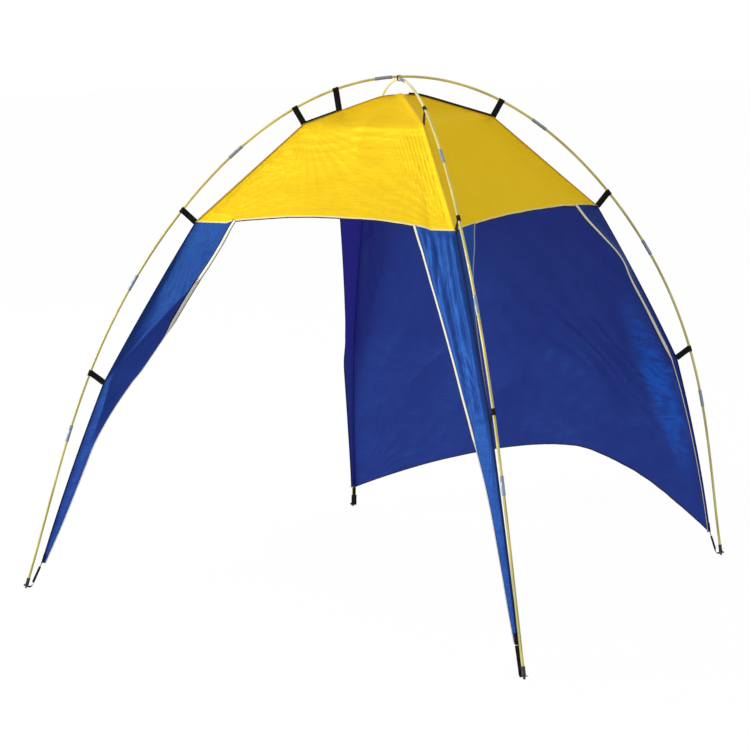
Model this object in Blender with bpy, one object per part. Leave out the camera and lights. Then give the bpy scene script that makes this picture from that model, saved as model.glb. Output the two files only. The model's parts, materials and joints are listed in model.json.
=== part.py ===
"""Folding beach tent: a canopy hung by webbing loops below two crossing arched poles.

The tent stands on four feet. It is the same left and right, apart from the folds that its
leg cloths hang in, and a little wider in front than behind. +X is the right-hand side seen
from the open front, -Y is the front, and the origin lies on the ground below the middle of
the footprint. All sizes are in metres.
"""

import bpy
import bmesh
import math
import numpy as np
from mathutils import Vector

# Footprint and height
FRONT_HALF_WIDTH = 1.240
BACK_HALF_WIDTH = 0.986
DEPTH = 1.892
CROWN_HEIGHT = 2.050

# Slope of each pole where it meets the ground and how far the straps turn it, in degrees,
# and how many waves that turning makes on half a pole
FRONT_FOOT_SLOPE = 70.5
BACK_FOOT_SLOPE = 83.0
FRONT_STRAP_TURN = 2.0
BACK_STRAP_TURN = 2.6
STRAP_WAVES = 1.5

# Glass-fibre pole sections, metal ferrules and elastic cord
SECTIONS_PER_HALF = 4
POLE_DIAMETER = 0.0110
POLE_BORE = 0.0044
FERRULE_LENGTH = 0.070
FERRULE_WALL = 0.0011
SPIGOT_CLEARANCE = 0.00035
BUTT_GAP = 0.0003
CORD_CLEARANCE = 0.0003

# Foot caps: a sleeve on the pole and a nose that stands on the ground
CAP_LENGTH = 0.045
CAP_WALL = 0.0016
NOSE_RADIUS = 0.0046
NOSE_LENGTH = 0.012
CAP_FLOOR = 0.004

# Webbing straps
WEBBING_WIDTH = 0.025
WEBBING_THICKNESS = 0.0016
LOOP_SLACK = 0.0006
SEWN_GAP = 0.0005

# Straps from the pole to the canopy: place on the pole, run inwards and fall
UPPER_STRAP_BELOW_CROWN = 0.111
UPPER_STRAP_RUN = 0.034
UPPER_STRAP_FALL = 0.064
HEM_STRAP_BELOW_CROWN = 0.503
HEM_STRAP_RUN = 0.050
HEM_STRAP_FALL = 0.053
LEG_STRAP_HEIGHT = 0.890
LEG_STRAP_RUN = 0.056
LEG_STRAP_FALL = 0.040
RIDGE_STRAP_FROM_CORNER = 0.168

# Foot ties: elastic cord and webbing tab with an eyelet hole
TIP_HEIGHT = 0.104
TIP_INSET = 0.036
ELASTIC_LENGTH = 0.045
ELASTIC_RADIUS = 0.002
TAB_MARGIN = 0.0075
TAB_STANDOFF = 0.0115
TAB_BEND = 0.003
EYELET_CLEARANCE = 0.0004

# Canopy
CLOTH_THICKNESS = 0.0015
SEAM_GAP = 0.0003
PEAK_BELOW_CROWN = 0.050
PEAK_ROUNDING = 0.055
PEAK_FLATTENING = 0.0165
PANEL_SAG = 0.012
HEM_RISE = 0.036
HEM_ROUNDNESS = 0.6
EDGE_SLACK = 0.35
WALL_HEM_RISE = 0.320
WALL_HEM_TOP = 0.67
WALL_HEM_CURVE = 1.65
WALL_FOLD = 0.012
WALL_FOLDS = 3
WALL_FOLD_DRIFT = 0.25
WALL_FOLD_FADE = 0.62

# Leg cloths: widths of the gussets, and how fast they narrow below the hem
FRONT_GUSSET_WIDTH = 0.192
FRONT_GUSSET_TAPER = 0.94
FRONT_LEG_SIDE_GUSSET_WIDTH = 0.135
BACK_LEG_SIDE_GUSSET_WIDTH = 0.178
SIDE_GUSSET_TAPERS = {"left_front": 4.0, "right_front": 4.0, "right_back": 3.3, "left_back": 2.8}
GUSSET_TIP_WIDTH = 0.020

# Folds of the leg cloths, as shares of a gusset, and how far they turn inwards, in degrees
HEM_FADE = 0.07
CURL = 5.0
EDGE_STRIP = 0.15
EDGE_STRIP_TURN = 34.0
LEFT_FACE_TURN = 3.0
LEFT_FOLD_TURN = 37.0
LEFT_FOLD_TOP = 0.10
LEFT_FOLD_FOOT = 0.58
LEFT_FOLD_SOFTNESS = 0.20
LEFT_FOLD_NEAREST = 0.15
RIGHT_FACE_TURN = 20.0
RIGHT_GROOVE_TURN = 30.0
RIGHT_GROOVE_WIDTH = 0.10
RIGHT_GROOVE_START = 0.57
RIGHT_GROOVE_DRIFT = 0.72
SIDE_TURNS = {
    "left_front": ((0.0, 1.0), (14.0, 10.0)),
    "right_front": ((0.0, 1.0), (16.0, 10.0)),
    "right_back": ((0.0, 0.10, 0.15, 0.22, 0.31, 0.42, 1.0), (0.0, -15.0, -27.0, -14.0, -9.0, 4.0, 0.0)),
    "left_back": ((0.0, 1.0), (12.0, -14.0)),
}

# Tie where the poles cross
TIE_WIDTH = 0.010
TIE_SLACK = 0.0025
TIE_CLEARANCE = 0.0004
CROSSING_GAP = 0.0005

# Fineness of the mesh
POLE_SIDES = 8
CORD_SIDES = 5
CAP_SIDES = 12
LOOP_STEPS = 12
TAIL_STEPS = 3
TIE_STEPS = 20
ELASTIC_SIDES = 6
TURN_PER_RING = math.radians(5.0)
SHARP_ANGLE = math.radians(35.0)
SAME_PLACE = 1e-5
ARCH_STEPS = 400
BEND_SEARCH = (0.2, 30.0)
BEND_SEARCH_STEPS = 60
EDGE_STEP = 0.01
LEG_ROWS = 12
FRONT_GUSSET_COLUMNS = 8
SIDE_GUSSET_COLUMNS = 4
WALL_COLUMNS = 24
ROOF_ROWS = 5
ROOF_COLUMNS = 8
TOP_RINGS = 5

# Sizes that follow from the ones above
POLE_RADIUS = POLE_DIAMETER / 2
BORE_RADIUS = POLE_BORE / 2
CORD_RADIUS = BORE_RADIUS - CORD_CLEARANCE
SOCKET_RADIUS = POLE_RADIUS + SPIGOT_CLEARANCE
FERRULE_RADIUS = SOCKET_RADIUS + FERRULE_WALL
CAP_RADIUS = SOCKET_RADIUS + CAP_WALL
LOOP_RADIUS = POLE_RADIUS + LOOP_SLACK
POLE_END = NOSE_LENGTH + CAP_FLOOR + BUTT_GAP
EYELET_RADIUS = NOSE_RADIUS + EYELET_CLEARANCE
CORNER_SHARE = FRONT_HALF_WIDTH / (FRONT_HALF_WIDTH + BACK_HALF_WIDTH)
CROWN_Y = DEPTH * (CORNER_SHARE - 0.5)
CROWN = np.array([0.0, CROWN_Y, 0.0])
PEAK = np.array([0.0, CROWN_Y, CROWN_HEIGHT - PEAK_BELOW_CROWN])
INSIDE_POINT = np.array([0.0, CROWN_Y, CROWN_HEIGHT / 2])
UP = np.array([0.0, 0.0, 1.0])
LEVEL = np.array([1.0, 1.0, 0.0])
SECTION_NAMES = ("leg_section", "lower_section", "upper_section", "crown_section")

# Finishes: colour, roughness and metallic value
FINISHES = {
    "glass_fibre": ((0.86, 0.78, 0.34), 0.35, 0.0),
    "ferrule_metal": ((0.42, 0.48, 0.55), 0.30, 1.0),
    "cap_plastic": ((0.02, 0.02, 0.02), 0.50, 0.0),
    "shock_cord": ((0.75, 0.75, 0.70), 0.80, 0.0),
    "foot_elastic": ((0.30, 0.31, 0.24), 0.80, 0.0),
    "black_webbing": ((0.012, 0.012, 0.014), 0.75, 0.0),
    "yellow_nylon": ((0.96, 0.62, 0.01), 0.55, 0.0),
    "blue_nylon": ((0.02, 0.06, 0.32), 0.50, 0.0),
}


def unit(vector):
    """The vector scaled to length one."""
    vector = np.asarray(vector, dtype=float)
    return vector / np.linalg.norm(vector)


def add_body(name, points, faces, finish, smooth=True):
    """Makes one closed object, with its faces pointing out, and gives it its own material."""
    mesh = bpy.data.meshes.new(name)
    mesh.from_pydata([tuple(float(c) for c in p) for p in points], [], faces)
    shape = bmesh.new()
    shape.from_mesh(mesh)
    bmesh.ops.recalc_face_normals(shape, faces=shape.faces)
    shape.to_mesh(mesh)
    shape.free()
    if smooth:
        mesh.shade_smooth()
        mesh.set_sharp_from_angle(angle=SHARP_ANGLE)
    body = bpy.data.objects.new(name, mesh)
    bpy.context.scene.collection.objects.link(body)
    body.data.materials.append(own_material(name, finish))
    return body


def own_material(name, finish):
    """A Principled material for one object, in one of the tent's finishes."""
    colour, roughness, metallic = FINISHES[finish]
    material = bpy.data.materials.new(name + "_" + finish)
    material.use_nodes = True
    shader = material.node_tree.nodes["Principled BSDF"]
    shader.inputs["Base Color"].default_value = (*colour, 1.0)
    shader.inputs["Roughness"].default_value = roughness
    shader.inputs["Metallic"].default_value = metallic
    material.diffuse_color = (*colour, 1.0)
    return material


# The arch of a bent pole


def arch_slope(share, foot_slope, strap_turn, exponent):
    """Slope of a half arch at shares of its length from the crown to the foot, in radians.

    The bend gathers towards the crown. The straps draw the pole in below the crown and
    again near the foot, so its slope waves a little about that curve.
    """
    plain = foot_slope * (1 - (1 - share) ** exponent)
    return np.radians(plain + strap_turn * np.sin(2 * math.pi * STRAP_WAVES * share))


def arch_exponent(foot_slope, strap_turn, reach, height):
    """How the bend gathers towards the crown, so that the arch lands on its foot."""
    share = (np.arange(ARCH_STEPS) + 0.5) / ARCH_STEPS
    low, high = BEND_SEARCH
    for _ in range(BEND_SEARCH_STEPS):
        middle = (low + high) / 2
        angles = arch_slope(share, foot_slope, strap_turn, middle)
        if np.cos(angles).mean() / np.sin(angles).mean() > reach / height:
            low = middle
        else:
            high = middle
    return (low + high) / 2


def half_arch(foot_slope, strap_turn, reach, height):
    """Length along the pole, distance out, drop and slope, from the crown to the foot."""
    exponent = arch_exponent(foot_slope, strap_turn, reach, height)
    middles = (np.arange(ARCH_STEPS) + 0.5) / ARCH_STEPS
    angles = arch_slope(middles, foot_slope, strap_turn, exponent)
    length = height / np.sin(angles).mean()
    step = length / ARCH_STEPS
    out = np.concatenate([[0], np.cumsum(np.cos(angles)) * step])
    drop = np.concatenate([[0], np.cumsum(np.sin(angles)) * step])
    share = np.linspace(0, 1, ARCH_STEPS + 1)
    return share * length, out, drop, arch_slope(share, foot_slope, strap_turn, exponent)


class Pole:
    """A whole pole in its upright plane, measured from its front foot to its back foot."""

    def __init__(self, front_foot, back_foot, crown_height):
        front_reach = np.linalg.norm(front_foot - CROWN)
        back_reach = np.linalg.norm(back_foot - CROWN)
        front = half_arch(FRONT_FOOT_SLOPE, FRONT_STRAP_TURN, front_reach, crown_height)
        back = half_arch(BACK_FOOT_SLOPE, BACK_STRAP_TURN, back_reach, crown_height)
        self.front_length = front[0][-1]
        self.length = self.front_length + back[0][-1]
        self.plan = unit(back_foot - front_foot)
        self.side = np.cross(UP, self.plan)
        self.x = np.concatenate([self.front_length - front[0][::-1], self.front_length + back[0][1:]])
        self.level = np.concatenate([-front[1][::-1], back[1][1:]])
        self.height = crown_height - np.concatenate([front[2][::-1], back[2][1:]])
        self.slope = np.concatenate([front[3][::-1], -back[3][1:]])
        self.section = self.length / (2 * SECTIONS_PER_HALF)
        self.rings = []

    def point(self, x):
        """Centre of the pole at a distance from its front foot."""
        level = np.interp(x, self.x, self.level)
        return CROWN + self.plan * level + UP * np.interp(x, self.x, self.height)

    def frame(self, x):
        """Directions at x: along the pole, square to it towards the inside, and sideways."""
        slope = np.interp(x, self.x, self.slope)
        along = math.cos(slope) * self.plan + math.sin(slope) * UP
        inward = math.sin(slope) * self.plan - math.cos(slope) * UP
        return along, inward, self.side

    def at_height(self, height, in_front):
        """Distance from the front foot to the place where the pole has this height."""
        if in_front:
            use = self.x <= self.front_length
            return float(np.interp(height, self.height[use], self.x[use]))
        use = self.x >= self.front_length
        return float(np.interp(-height, -self.height[use], self.x[use]))

    def nearest(self, place):
        """Distance from the front foot to the point of the pole nearest to a place."""
        points = CROWN + np.outer(self.level, self.plan) + np.outer(self.height, UP)
        return float(self.x[np.argmin(np.linalg.norm(points - place, axis=1))])

    def from_foot(self, distance, in_front):
        """The same distance from either foot, as a distance from the front foot."""
        return distance if in_front else self.length - distance

    def set_rings(self, fixed):
        """Rings at the fixed places, and more between them where the pole bends."""
        places = sorted(set(fixed))
        self.rings = [places[0]]
        for start, end in zip(places, places[1:]):
            if end - start < SAME_PLACE:
                continue
            turn = abs(np.interp(end, self.x, self.slope) - np.interp(start, self.x, self.slope))
            steps = max(1, math.ceil(turn / TURN_PER_RING))
            self.rings += [start + (end - start) * i / steps for i in range(1, steps + 1)]

    def between(self, start, end):
        """The rings strictly between two places, in the order from start to end."""
        low = min(start, end)
        high = max(start, end)
        inner = [x for x in self.rings if low + SAME_PLACE < x < high - SAME_PLACE]
        return inner if start < end else inner[::-1]


class Corner:
    """One leg of the tent: its pole, its straps and the canopy points that hang on them.

    The canopy is cut to the arch of the top pole on both diagonals, so that it is the same
    left and right. The straps then reach from there to the leg's own pole.
    """

    def __init__(self, name, foot, pole, arch, in_front):
        self.name = name
        self.foot = foot
        self.pole = pole
        self.arch = arch
        self.in_front = in_front
        self.out = unit(foot - CROWN)
        upper_height = CROWN_HEIGHT - UPPER_STRAP_BELOW_CROWN
        hem_height = CROWN_HEIGHT - HEM_STRAP_BELOW_CROWN
        self.upper_at, self.upper = self.hang(upper_height, UPPER_STRAP_RUN, UPPER_STRAP_FALL)
        self.hem_at, self.hem = self.hang(hem_height, HEM_STRAP_RUN, HEM_STRAP_FALL)
        self.leg_at, self.leg = self.hang(LEG_STRAP_HEIGHT, LEG_STRAP_RUN, LEG_STRAP_FALL)
        tip_pole = arch.point(arch.at_height(TIP_HEIGHT, in_front))
        self.tip = tip_pole - self.out * TIP_INSET

    def hang(self, height, run, fall):
        """Where a strap sits on the pole, and where its other end holds the canopy."""
        place = self.arch.point(self.arch.at_height(height, self.in_front))
        return self.pole.nearest(place), place - self.out * run - UP * fall

    def on_pole(self, distance):
        """A distance up from this corner's foot, as a distance from the front foot."""
        return self.pole.from_foot(distance, self.in_front)

    def ridge(self, share):
        """Corner edge of the leg cloth, from the hem (0) to the tip (1).

        It is pulled nearly straight above and below the leg strap. A little of the bow of a
        smooth curve through the hem, the leg strap and the tip is left in it.
        """
        height = self.hem[2] + (self.tip[2] - self.hem[2]) * share
        low, middle, high = self.tip, self.leg, self.hem
        upper_slope = (high - middle) / (high[2] - middle[2])
        lower_slope = (middle - low) / (middle[2] - low[2])
        bend = (upper_slope - lower_slope) / (high[2] - low[2])
        above = height - middle[2]
        if above > 0:
            return middle + upper_slope * above + EDGE_SLACK * bend * above * (height - high[2])
        return middle + lower_slope * above + EDGE_SLACK * bend * above * (height - low[2])

    def row_share(self, row):
        """Share of the way down the corner edge at a row of cloth, the middle one at the leg strap."""
        leg_share = (self.hem[2] - self.leg[2]) / (self.hem[2] - self.tip[2])
        half = LEG_ROWS / 2
        if row <= half:
            return leg_share * row / half
        return leg_share + (1 - leg_share) * (row - half) / half

    def edge_direction(self, height):
        """Direction of the corner edge, downwards, at a height."""
        share = (self.hem[2] - height) / (self.hem[2] - self.tip[2])
        return unit(self.ridge(share + EDGE_STEP) - self.ridge(share - EDGE_STEP))


# Swept and turned bodies on a pole


def ring_points(pole, x, radius, sides):
    """A ring of points square to the pole."""
    centre = pole.point(x)
    along, inward, side = pole.frame(x)
    turns = [2 * math.pi * (i + 0.5) / sides for i in range(sides)]
    return [centre + radius * (math.cos(t) * inward + math.sin(t) * side) for t in turns]


def swept_body(name, pole, profile, sides, finish, is_tube, floor_cut=False):
    """Carries a profile of (place, radius) along the bent pole, round its centre line.

    A tube's profile is a closed loop, out along the wall and back through the bore.
    Otherwise the profile ends in two flat faces.
    """
    stations = []
    pairs = list(zip(profile, profile[1:] + profile[:1])) if is_tube else list(zip(profile, profile[1:]))
    for (x, radius), (next_x, next_radius) in pairs:
        stations.append((x, radius))
        if radius == next_radius:
            stations += [(inner, radius) for inner in pole.between(x, next_x)]
    if not is_tube:
        stations.append(profile[-1])
    points = []
    for x, radius in stations:
        points += ring_points(pole, x, radius, sides)
    if floor_cut:
        along = pole.frame(profile[0][0])[0]
        for i in range(sides):
            points[i] = points[i] - along * (points[i][2] / along[2])
    faces = []
    count = len(stations)
    for ring in range(count if is_tube else count - 1):
        here = ring * sides
        there = ((ring + 1) % count) * sides
        for i in range(sides):
            j = (i + 1) % sides
            faces.append((here + i, here + j, there + j, there + i))
    if not is_tube:
        faces.append(tuple(range(sides))[::-1])
        faces.append(tuple(range((count - 1) * sides, count * sides)))
    return add_body(name, points, faces, finish)


def pole_section(corner, number):
    """One glass-fibre tube. All but the lowest have a ferrule glued on at the lower end."""
    section = corner.pole.section
    half = FERRULE_LENGTH / 2
    low = (number - 1) * section
    high = number * section
    outer = []
    inner = []
    if number == 1:
        start = POLE_END
        outer = [(start, POLE_RADIUS)]
        inner = [(start, BORE_RADIUS)]
    elif number == 2:
        outer = [(low + BUTT_GAP / 2, POLE_RADIUS)]
        inner = [(low + BUTT_GAP / 2, BORE_RADIUS)]
    else:
        outer = [(low - half, FERRULE_RADIUS), (low + half, FERRULE_RADIUS), (low + half, POLE_RADIUS)]
        inner = [(low + BUTT_GAP / 2, BORE_RADIUS), (low + BUTT_GAP / 2, SOCKET_RADIUS)]
        inner.append((low - half, SOCKET_RADIUS))
    if number == SECTIONS_PER_HALF and corner.in_front:
        outer += [(high - half, POLE_RADIUS), (high - half, FERRULE_RADIUS), (high + half, FERRULE_RADIUS)]
        outer += [(high + half, SOCKET_RADIUS), (high - BUTT_GAP / 2, SOCKET_RADIUS)]
    else:
        outer.append((high - BUTT_GAP / 2, POLE_RADIUS))
    outer.append((high - BUTT_GAP / 2, BORE_RADIUS))
    profile = [(corner.on_pole(x), r) for x, r in outer + inner]
    part = SECTION_NAMES[number - 1] if number <= len(SECTION_NAMES) else "section_" + str(number)
    return swept_body(corner.name + "_" + part, corner.pole, profile, POLE_SIDES, "glass_fibre", True)


def leg_ferrule(corner):
    """Metal sleeve glued on the second section: the leg section pulls out of its lower half."""
    joint = corner.pole.section
    low = joint - FERRULE_LENGTH / 2
    high = joint + FERRULE_LENGTH / 2
    profile = [(low, FERRULE_RADIUS), (high, FERRULE_RADIUS), (high, SOCKET_RADIUS), (low, SOCKET_RADIUS)]
    profile = [(corner.on_pole(x), r) for x, r in profile]
    name = corner.name + "_leg_ferrule"
    return swept_body(name, corner.pole, profile, POLE_SIDES, "ferrule_metal", True)


def foot_cap(corner):
    """Plastic cap on the end of the pole, with a nose cut level where it stands."""
    profile = [(0.0, NOSE_RADIUS), (NOSE_LENGTH, NOSE_RADIUS), (NOSE_LENGTH, CAP_RADIUS)]
    profile += [(CAP_LENGTH, CAP_RADIUS), (CAP_LENGTH, SOCKET_RADIUS)]
    profile.append((NOSE_LENGTH + CAP_FLOOR, SOCKET_RADIUS))
    profile = [(corner.on_pole(x), r) for x, r in profile]
    name = corner.name + "_foot_cap"
    return swept_body(name, corner.pole, profile, CAP_SIDES, "cap_plastic", False, floor_cut=True)


def shock_cord(corner):
    """Elastic cord inside the pole, from the foot cap to the middle of the pole."""
    middle = corner.pole.length / 2 - BUTT_GAP / 2
    profile = [(corner.on_pole(POLE_END), CORD_RADIUS), (corner.on_pole(middle), CORD_RADIUS)]
    name = corner.name + "_shock_cord"
    return swept_body(name, corner.pole, profile, CORD_SIDES, "shock_cord", False)


# Webbing


def loop_strap(name, pole, x, place, edge):
    """A webbing loop round the pole, with its tail sewn flat and ending at the canopy."""
    centre = pole.point(x)
    along, inward, side = pole.frame(x)
    reach = float(np.dot(place - centre, inward))
    shift = float(np.dot(place - centre, along))
    if np.dot(edge, along) < 0:
        edge = -edge
    outer_radius = LOOP_RADIUS + WEBBING_THICKNESS
    root_turn = math.asin(WEBBING_THICKNESS / outer_radius)
    root = outer_radius * math.cos(root_turn)
    turns = [root_turn + (2 * math.pi - 2 * root_turn) * i / LOOP_STEPS for i in range(LOOP_STEPS + 1)]
    inner = [(LOOP_RADIUS * math.cos(t), LOOP_RADIUS * math.sin(t), 0.0) for t in turns]
    outer = [(outer_radius * math.cos(t), outer_radius * math.sin(t), 0.0) for t in turns]
    tail_end = reach - SEWN_GAP
    tail = []
    for step in range(1, TAIL_STEPS + 1):
        share = step / TAIL_STEPS
        far = root + (tail_end - root) * share
        tail.append(((far, WEBBING_THICKNESS, share), (far, -WEBBING_THICKNESS, share)))

    def placed(mark, end):
        """A point of the outline, carried to one edge of the webbing."""
        far, sideways, share = mark
        across = unit((1 - share) * along + share * edge)
        return centre + inward * far + side * sideways + along * (shift * share) + across * end

    outline = inner + outer + [mark for pair in tail for mark in pair]
    count = len(outline)
    points = [placed(mark, end) for end in (WEBBING_WIDTH / 2, -WEBBING_WIDTH / 2) for mark in outline]
    first_outer = len(inner)
    first_tail = first_outer + len(outer)
    caps = []
    for i in range(LOOP_STEPS):
        caps.append((i, i + 1, first_outer + i + 1, first_outer + i))
    last = LOOP_STEPS
    caps.append((last, 0, first_outer, first_outer + last))
    border = list(range(first_outer, first_outer + LOOP_STEPS + 1))
    left = first_outer
    right = first_outer + last
    for i in range(len(tail)):
        next_left = first_tail + 2 * i
        next_right = next_left + 1
        caps.append((left, right, next_right, next_left))
        left = next_left
        right = next_right
    right_side = [first_tail + 2 * i + 1 for i in range(len(tail))]
    left_side = [first_tail + 2 * i for i in range(len(tail))]
    border = border + right_side + left_side[::-1]
    hole = list(range(LOOP_STEPS + 1))
    faces = list(caps)
    faces += [tuple(count + i for i in reversed(cap)) for cap in caps]
    for ring in (border, hole):
        for i in range(len(ring)):
            j = (i + 1) % len(ring)
            faces.append((ring[i], ring[j], count + ring[j], count + ring[i]))
    return add_body(name, points, faces, "black_webbing", smooth=False)


def ribbon(name, path, across, finish):
    """A flat strip of webbing whose middle follows a bent path."""
    path = [np.asarray(p) for p in path]
    points = []
    for i, place in enumerate(path):
        before = unit(place - path[i - 1]) if i > 0 else unit(path[1] - place)
        after = unit(path[i + 1] - place) if i < len(path) - 1 else before
        square = np.cross(across, unit(before + after))
        miter = WEBBING_THICKNESS / 2 / np.dot(square, np.cross(across, before))
        for up in (1, -1):
            for end in (1, -1):
                points.append(place + square * miter * up + across * end * WEBBING_WIDTH / 2)
    faces = [(0, 1, 3, 2), tuple(4 * (len(path) - 1) + i for i in (0, 2, 3, 1))]
    for i in range(len(path) - 1):
        here = 4 * i
        there = here + 4
        for a, b in ((0, 1), (1, 3), (3, 2), (2, 0)):
            faces.append((here + a, here + b, there + b, there + a))
    return add_body(name, points, faces, finish, smooth=False)


def foot_tie(corner):
    """Webbing tab round the nose of the cap, and the elastic cord that pulls it up."""
    pole = corner.pole
    base = pole.point(corner.on_pole(0.0))
    along, inward, side = pole.frame(corner.on_pole(0.0))
    if along[2] < 0:
        along = -along
    middle = base + along * (NOSE_LENGTH - SEWN_GAP - WEBBING_THICKNESS / 2)
    outer_end = middle - inward * (EYELET_RADIUS + TAB_MARGIN)
    bend = middle + inward * (CAP_RADIUS + TAB_STANDOFF)
    pull = unit(corner.tip - bend)
    riser_end = corner.tip - pull * ELASTIC_LENGTH
    path = [outer_end, bend - inward * TAB_BEND, bend + pull * TAB_BEND, riser_end]
    tab = ribbon(corner.name + "_foot_tab", path, side, "black_webbing")
    bpy.ops.mesh.primitive_cylinder_add(
        vertices=CAP_SIDES, radius=EYELET_RADIUS, depth=NOSE_LENGTH,
        location=Vector(middle), rotation=Vector(along).to_track_quat("Z", "Y").to_euler())
    cutter = bpy.context.object
    cutter.name = corner.name + "_eyelet_cutter"
    cutter.hide_render = True
    cutter.display_type = "WIRE"
    hole = tab.modifiers.new("Eyelet hole", "BOOLEAN")
    hole.operation = "DIFFERENCE"
    hole.solver = "EXACT"
    hole.object = cutter

    low = riser_end + pull * BUTT_GAP
    high = corner.tip - pull * BUTT_GAP
    count = ELASTIC_SIDES
    turns = [2 * math.pi * i / count for i in range(count)]
    ring = [math.cos(t) * side + math.sin(t) * np.cross(pull, side) for t in turns]
    points = [end + ELASTIC_RADIUS * way for end in (low, high) for way in ring]
    faces = [tuple(range(count))[::-1], tuple(range(count, 2 * count))]
    faces += [(i, (i + 1) % count, count + (i + 1) % count, count + i) for i in range(count)]
    add_body(corner.name + "_foot_elastic", points, faces, "foot_elastic")


def squircle(turn, half_width, half_height):
    """A point of a rounded square outline."""
    across = math.copysign(math.sqrt(abs(math.cos(turn))), math.cos(turn)) * half_width
    rise = math.copysign(math.sqrt(abs(math.sin(turn))), math.sin(turn)) * half_height
    return across, rise


def crossing_radius(pole):
    """Radius of each pole where they cross: the middle ferrule's, where that comes so far."""
    from_ferrule = abs(pole.front_length - pole.length / 2) - FERRULE_LENGTH / 2
    return FERRULE_RADIUS if from_ferrule < TIE_WIDTH else POLE_RADIUS


def crown_tie(top, under, radius):
    """Black tie round both poles where they cross, wide enough for their slanting sections."""
    high = top.point(top.front_length)[2] + radius
    low = under.point(under.front_length)[2] - radius
    middle = CROWN + UP * (high + low) / 2
    half_height = (high - low) / 2 + TIE_CLEARANCE
    slant = abs(top.plan[1] / top.plan[0])
    half_span = radius / abs(top.plan[0]) + slant * TIE_WIDTH / 2 + TIE_SLACK
    points = []
    for end in (TIE_WIDTH / 2, -TIE_WIDTH / 2):
        for extra in (0.0, WEBBING_THICKNESS):
            for i in range(TIE_STEPS):
                turn = 2 * math.pi * i / TIE_STEPS
                across, rise = squircle(turn, half_span + extra, half_height + extra)
                points.append(middle + np.array([end, across, rise]))
    faces = []
    for i in range(TIE_STEPS):
        j = (i + 1) % TIE_STEPS
        for a, b in ((0, 1), (1, 3), (3, 2), (2, 0)):
            faces.append((a * TIE_STEPS + i, a * TIE_STEPS + j, b * TIE_STEPS + j, b * TIE_STEPS + i))
    add_body("crown_tie", points, faces, "black_webbing", smooth=False)


# Canopy


def inner_face(place):
    """The point of the inner side of the cloth behind a point of the outer side."""
    return place + CLOTH_THICKNESS * unit(INSIDE_POINT - place)


def folded_inner_side(grid):
    """Inner side of a sheet with deep folds: square to the cloth, but as elsewhere at its hem and tip."""
    places = np.array(grid)
    square = np.cross(np.gradient(places, axis=0), np.gradient(places, axis=1))
    towards = INSIDE_POINT - places
    if (square * towards).sum() < 0:
        square = -square
    inner = []
    for r, row in enumerate(grid):
        if r in (0, len(grid) - 1):
            inner += [inner_face(place) for place in row]
        else:
            inner += [place + CLOTH_THICKNESS * unit(square[r, c]) for c, place in enumerate(row)]
    return inner


def cloth(name, grid, finish, folded=False):
    """A closed sheet whose outer side is a grid of points, rows by columns.

    Both sides are split into triangles along the same diagonals, so the sheet keeps its thickness.
    """
    rows = len(grid)
    columns = len(grid[0])
    outer = [place for row in grid for place in row]
    points = outer + (folded_inner_side(grid) if folded else [inner_face(place) for place in outer])
    count = len(outer)
    faces = []
    for r in range(rows - 1):
        for c in range(columns - 1):
            a = r * columns + c
            d = a + columns
            for triangle in ((a, a + 1, d + 1), (a, d + 1, d)):
                faces.append(triangle)
                faces.append(tuple(count + i for i in reversed(triangle)))
    rim = [c for c in range(columns)]
    rim += [r * columns + columns - 1 for r in range(1, rows)]
    rim += [(rows - 1) * columns + c for c in range(columns - 2, -1, -1)]
    rim += [r * columns for r in range(rows - 2, 0, -1)]
    for a, b in zip(rim, rim[1:] + rim[:1]):
        faces.append((a, b, count + b, count + a))
    return add_body(name, points, faces, finish)


def roof_top(corners):
    """Shallow four-sided top between the upper straps, round at the peak."""
    points = []
    for ring in range(TOP_RINGS):
        share = ring / TOP_RINGS
        for corner, following in zip(corners, corners[1:] + corners[:1]):
            for c in range(ROOF_COLUMNS):
                across = c / ROOF_COLUMNS
                place = corner.upper * (1 - across) + following.upper * across
                place = place * (1 - share) + PEAK * share
                away = np.linalg.norm(place[:2] - CROWN[:2])
                place[2] -= PEAK_FLATTENING * math.exp(-((away / PEAK_ROUNDING) ** 2))
                place[2] -= PANEL_SAG * math.sin(math.pi * across) * math.sin(math.pi * share)
                points.append(place)
    round_count = len(corners) * ROOF_COLUMNS
    points.append(PEAK - UP * PEAK_FLATTENING)
    faces = []
    for ring in range(TOP_RINGS - 1):
        for i in range(round_count):
            j = (i + 1) % round_count
            here = ring * round_count
            faces.append((here + i, here + j, here + round_count + j, here + round_count + i))
    last = (TOP_RINGS - 1) * round_count
    for i in range(round_count):
        faces.append((last + i, last + (i + 1) % round_count, last + round_count))
    count = len(points)
    points += [inner_face(place) for place in points]
    inner = [tuple(count + i for i in reversed(face)) for face in faces]
    rim = [(i, (i + 1) % round_count) for i in range(round_count)]
    walls = [(a, b, count + b, count + a) for a, b in rim]
    return add_body("roof_top", points, faces + inner + walls, "yellow_nylon")


def hem_lift(along, width, gussets):
    """How far the roof's hem rises between the two leg cloths."""
    share = (along - gussets[0]) / (width - sum(gussets))
    if share <= 0 or share >= 1:
        return 0.0
    return HEM_RISE * math.sin(math.pi * share) ** HEM_ROUNDNESS


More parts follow.
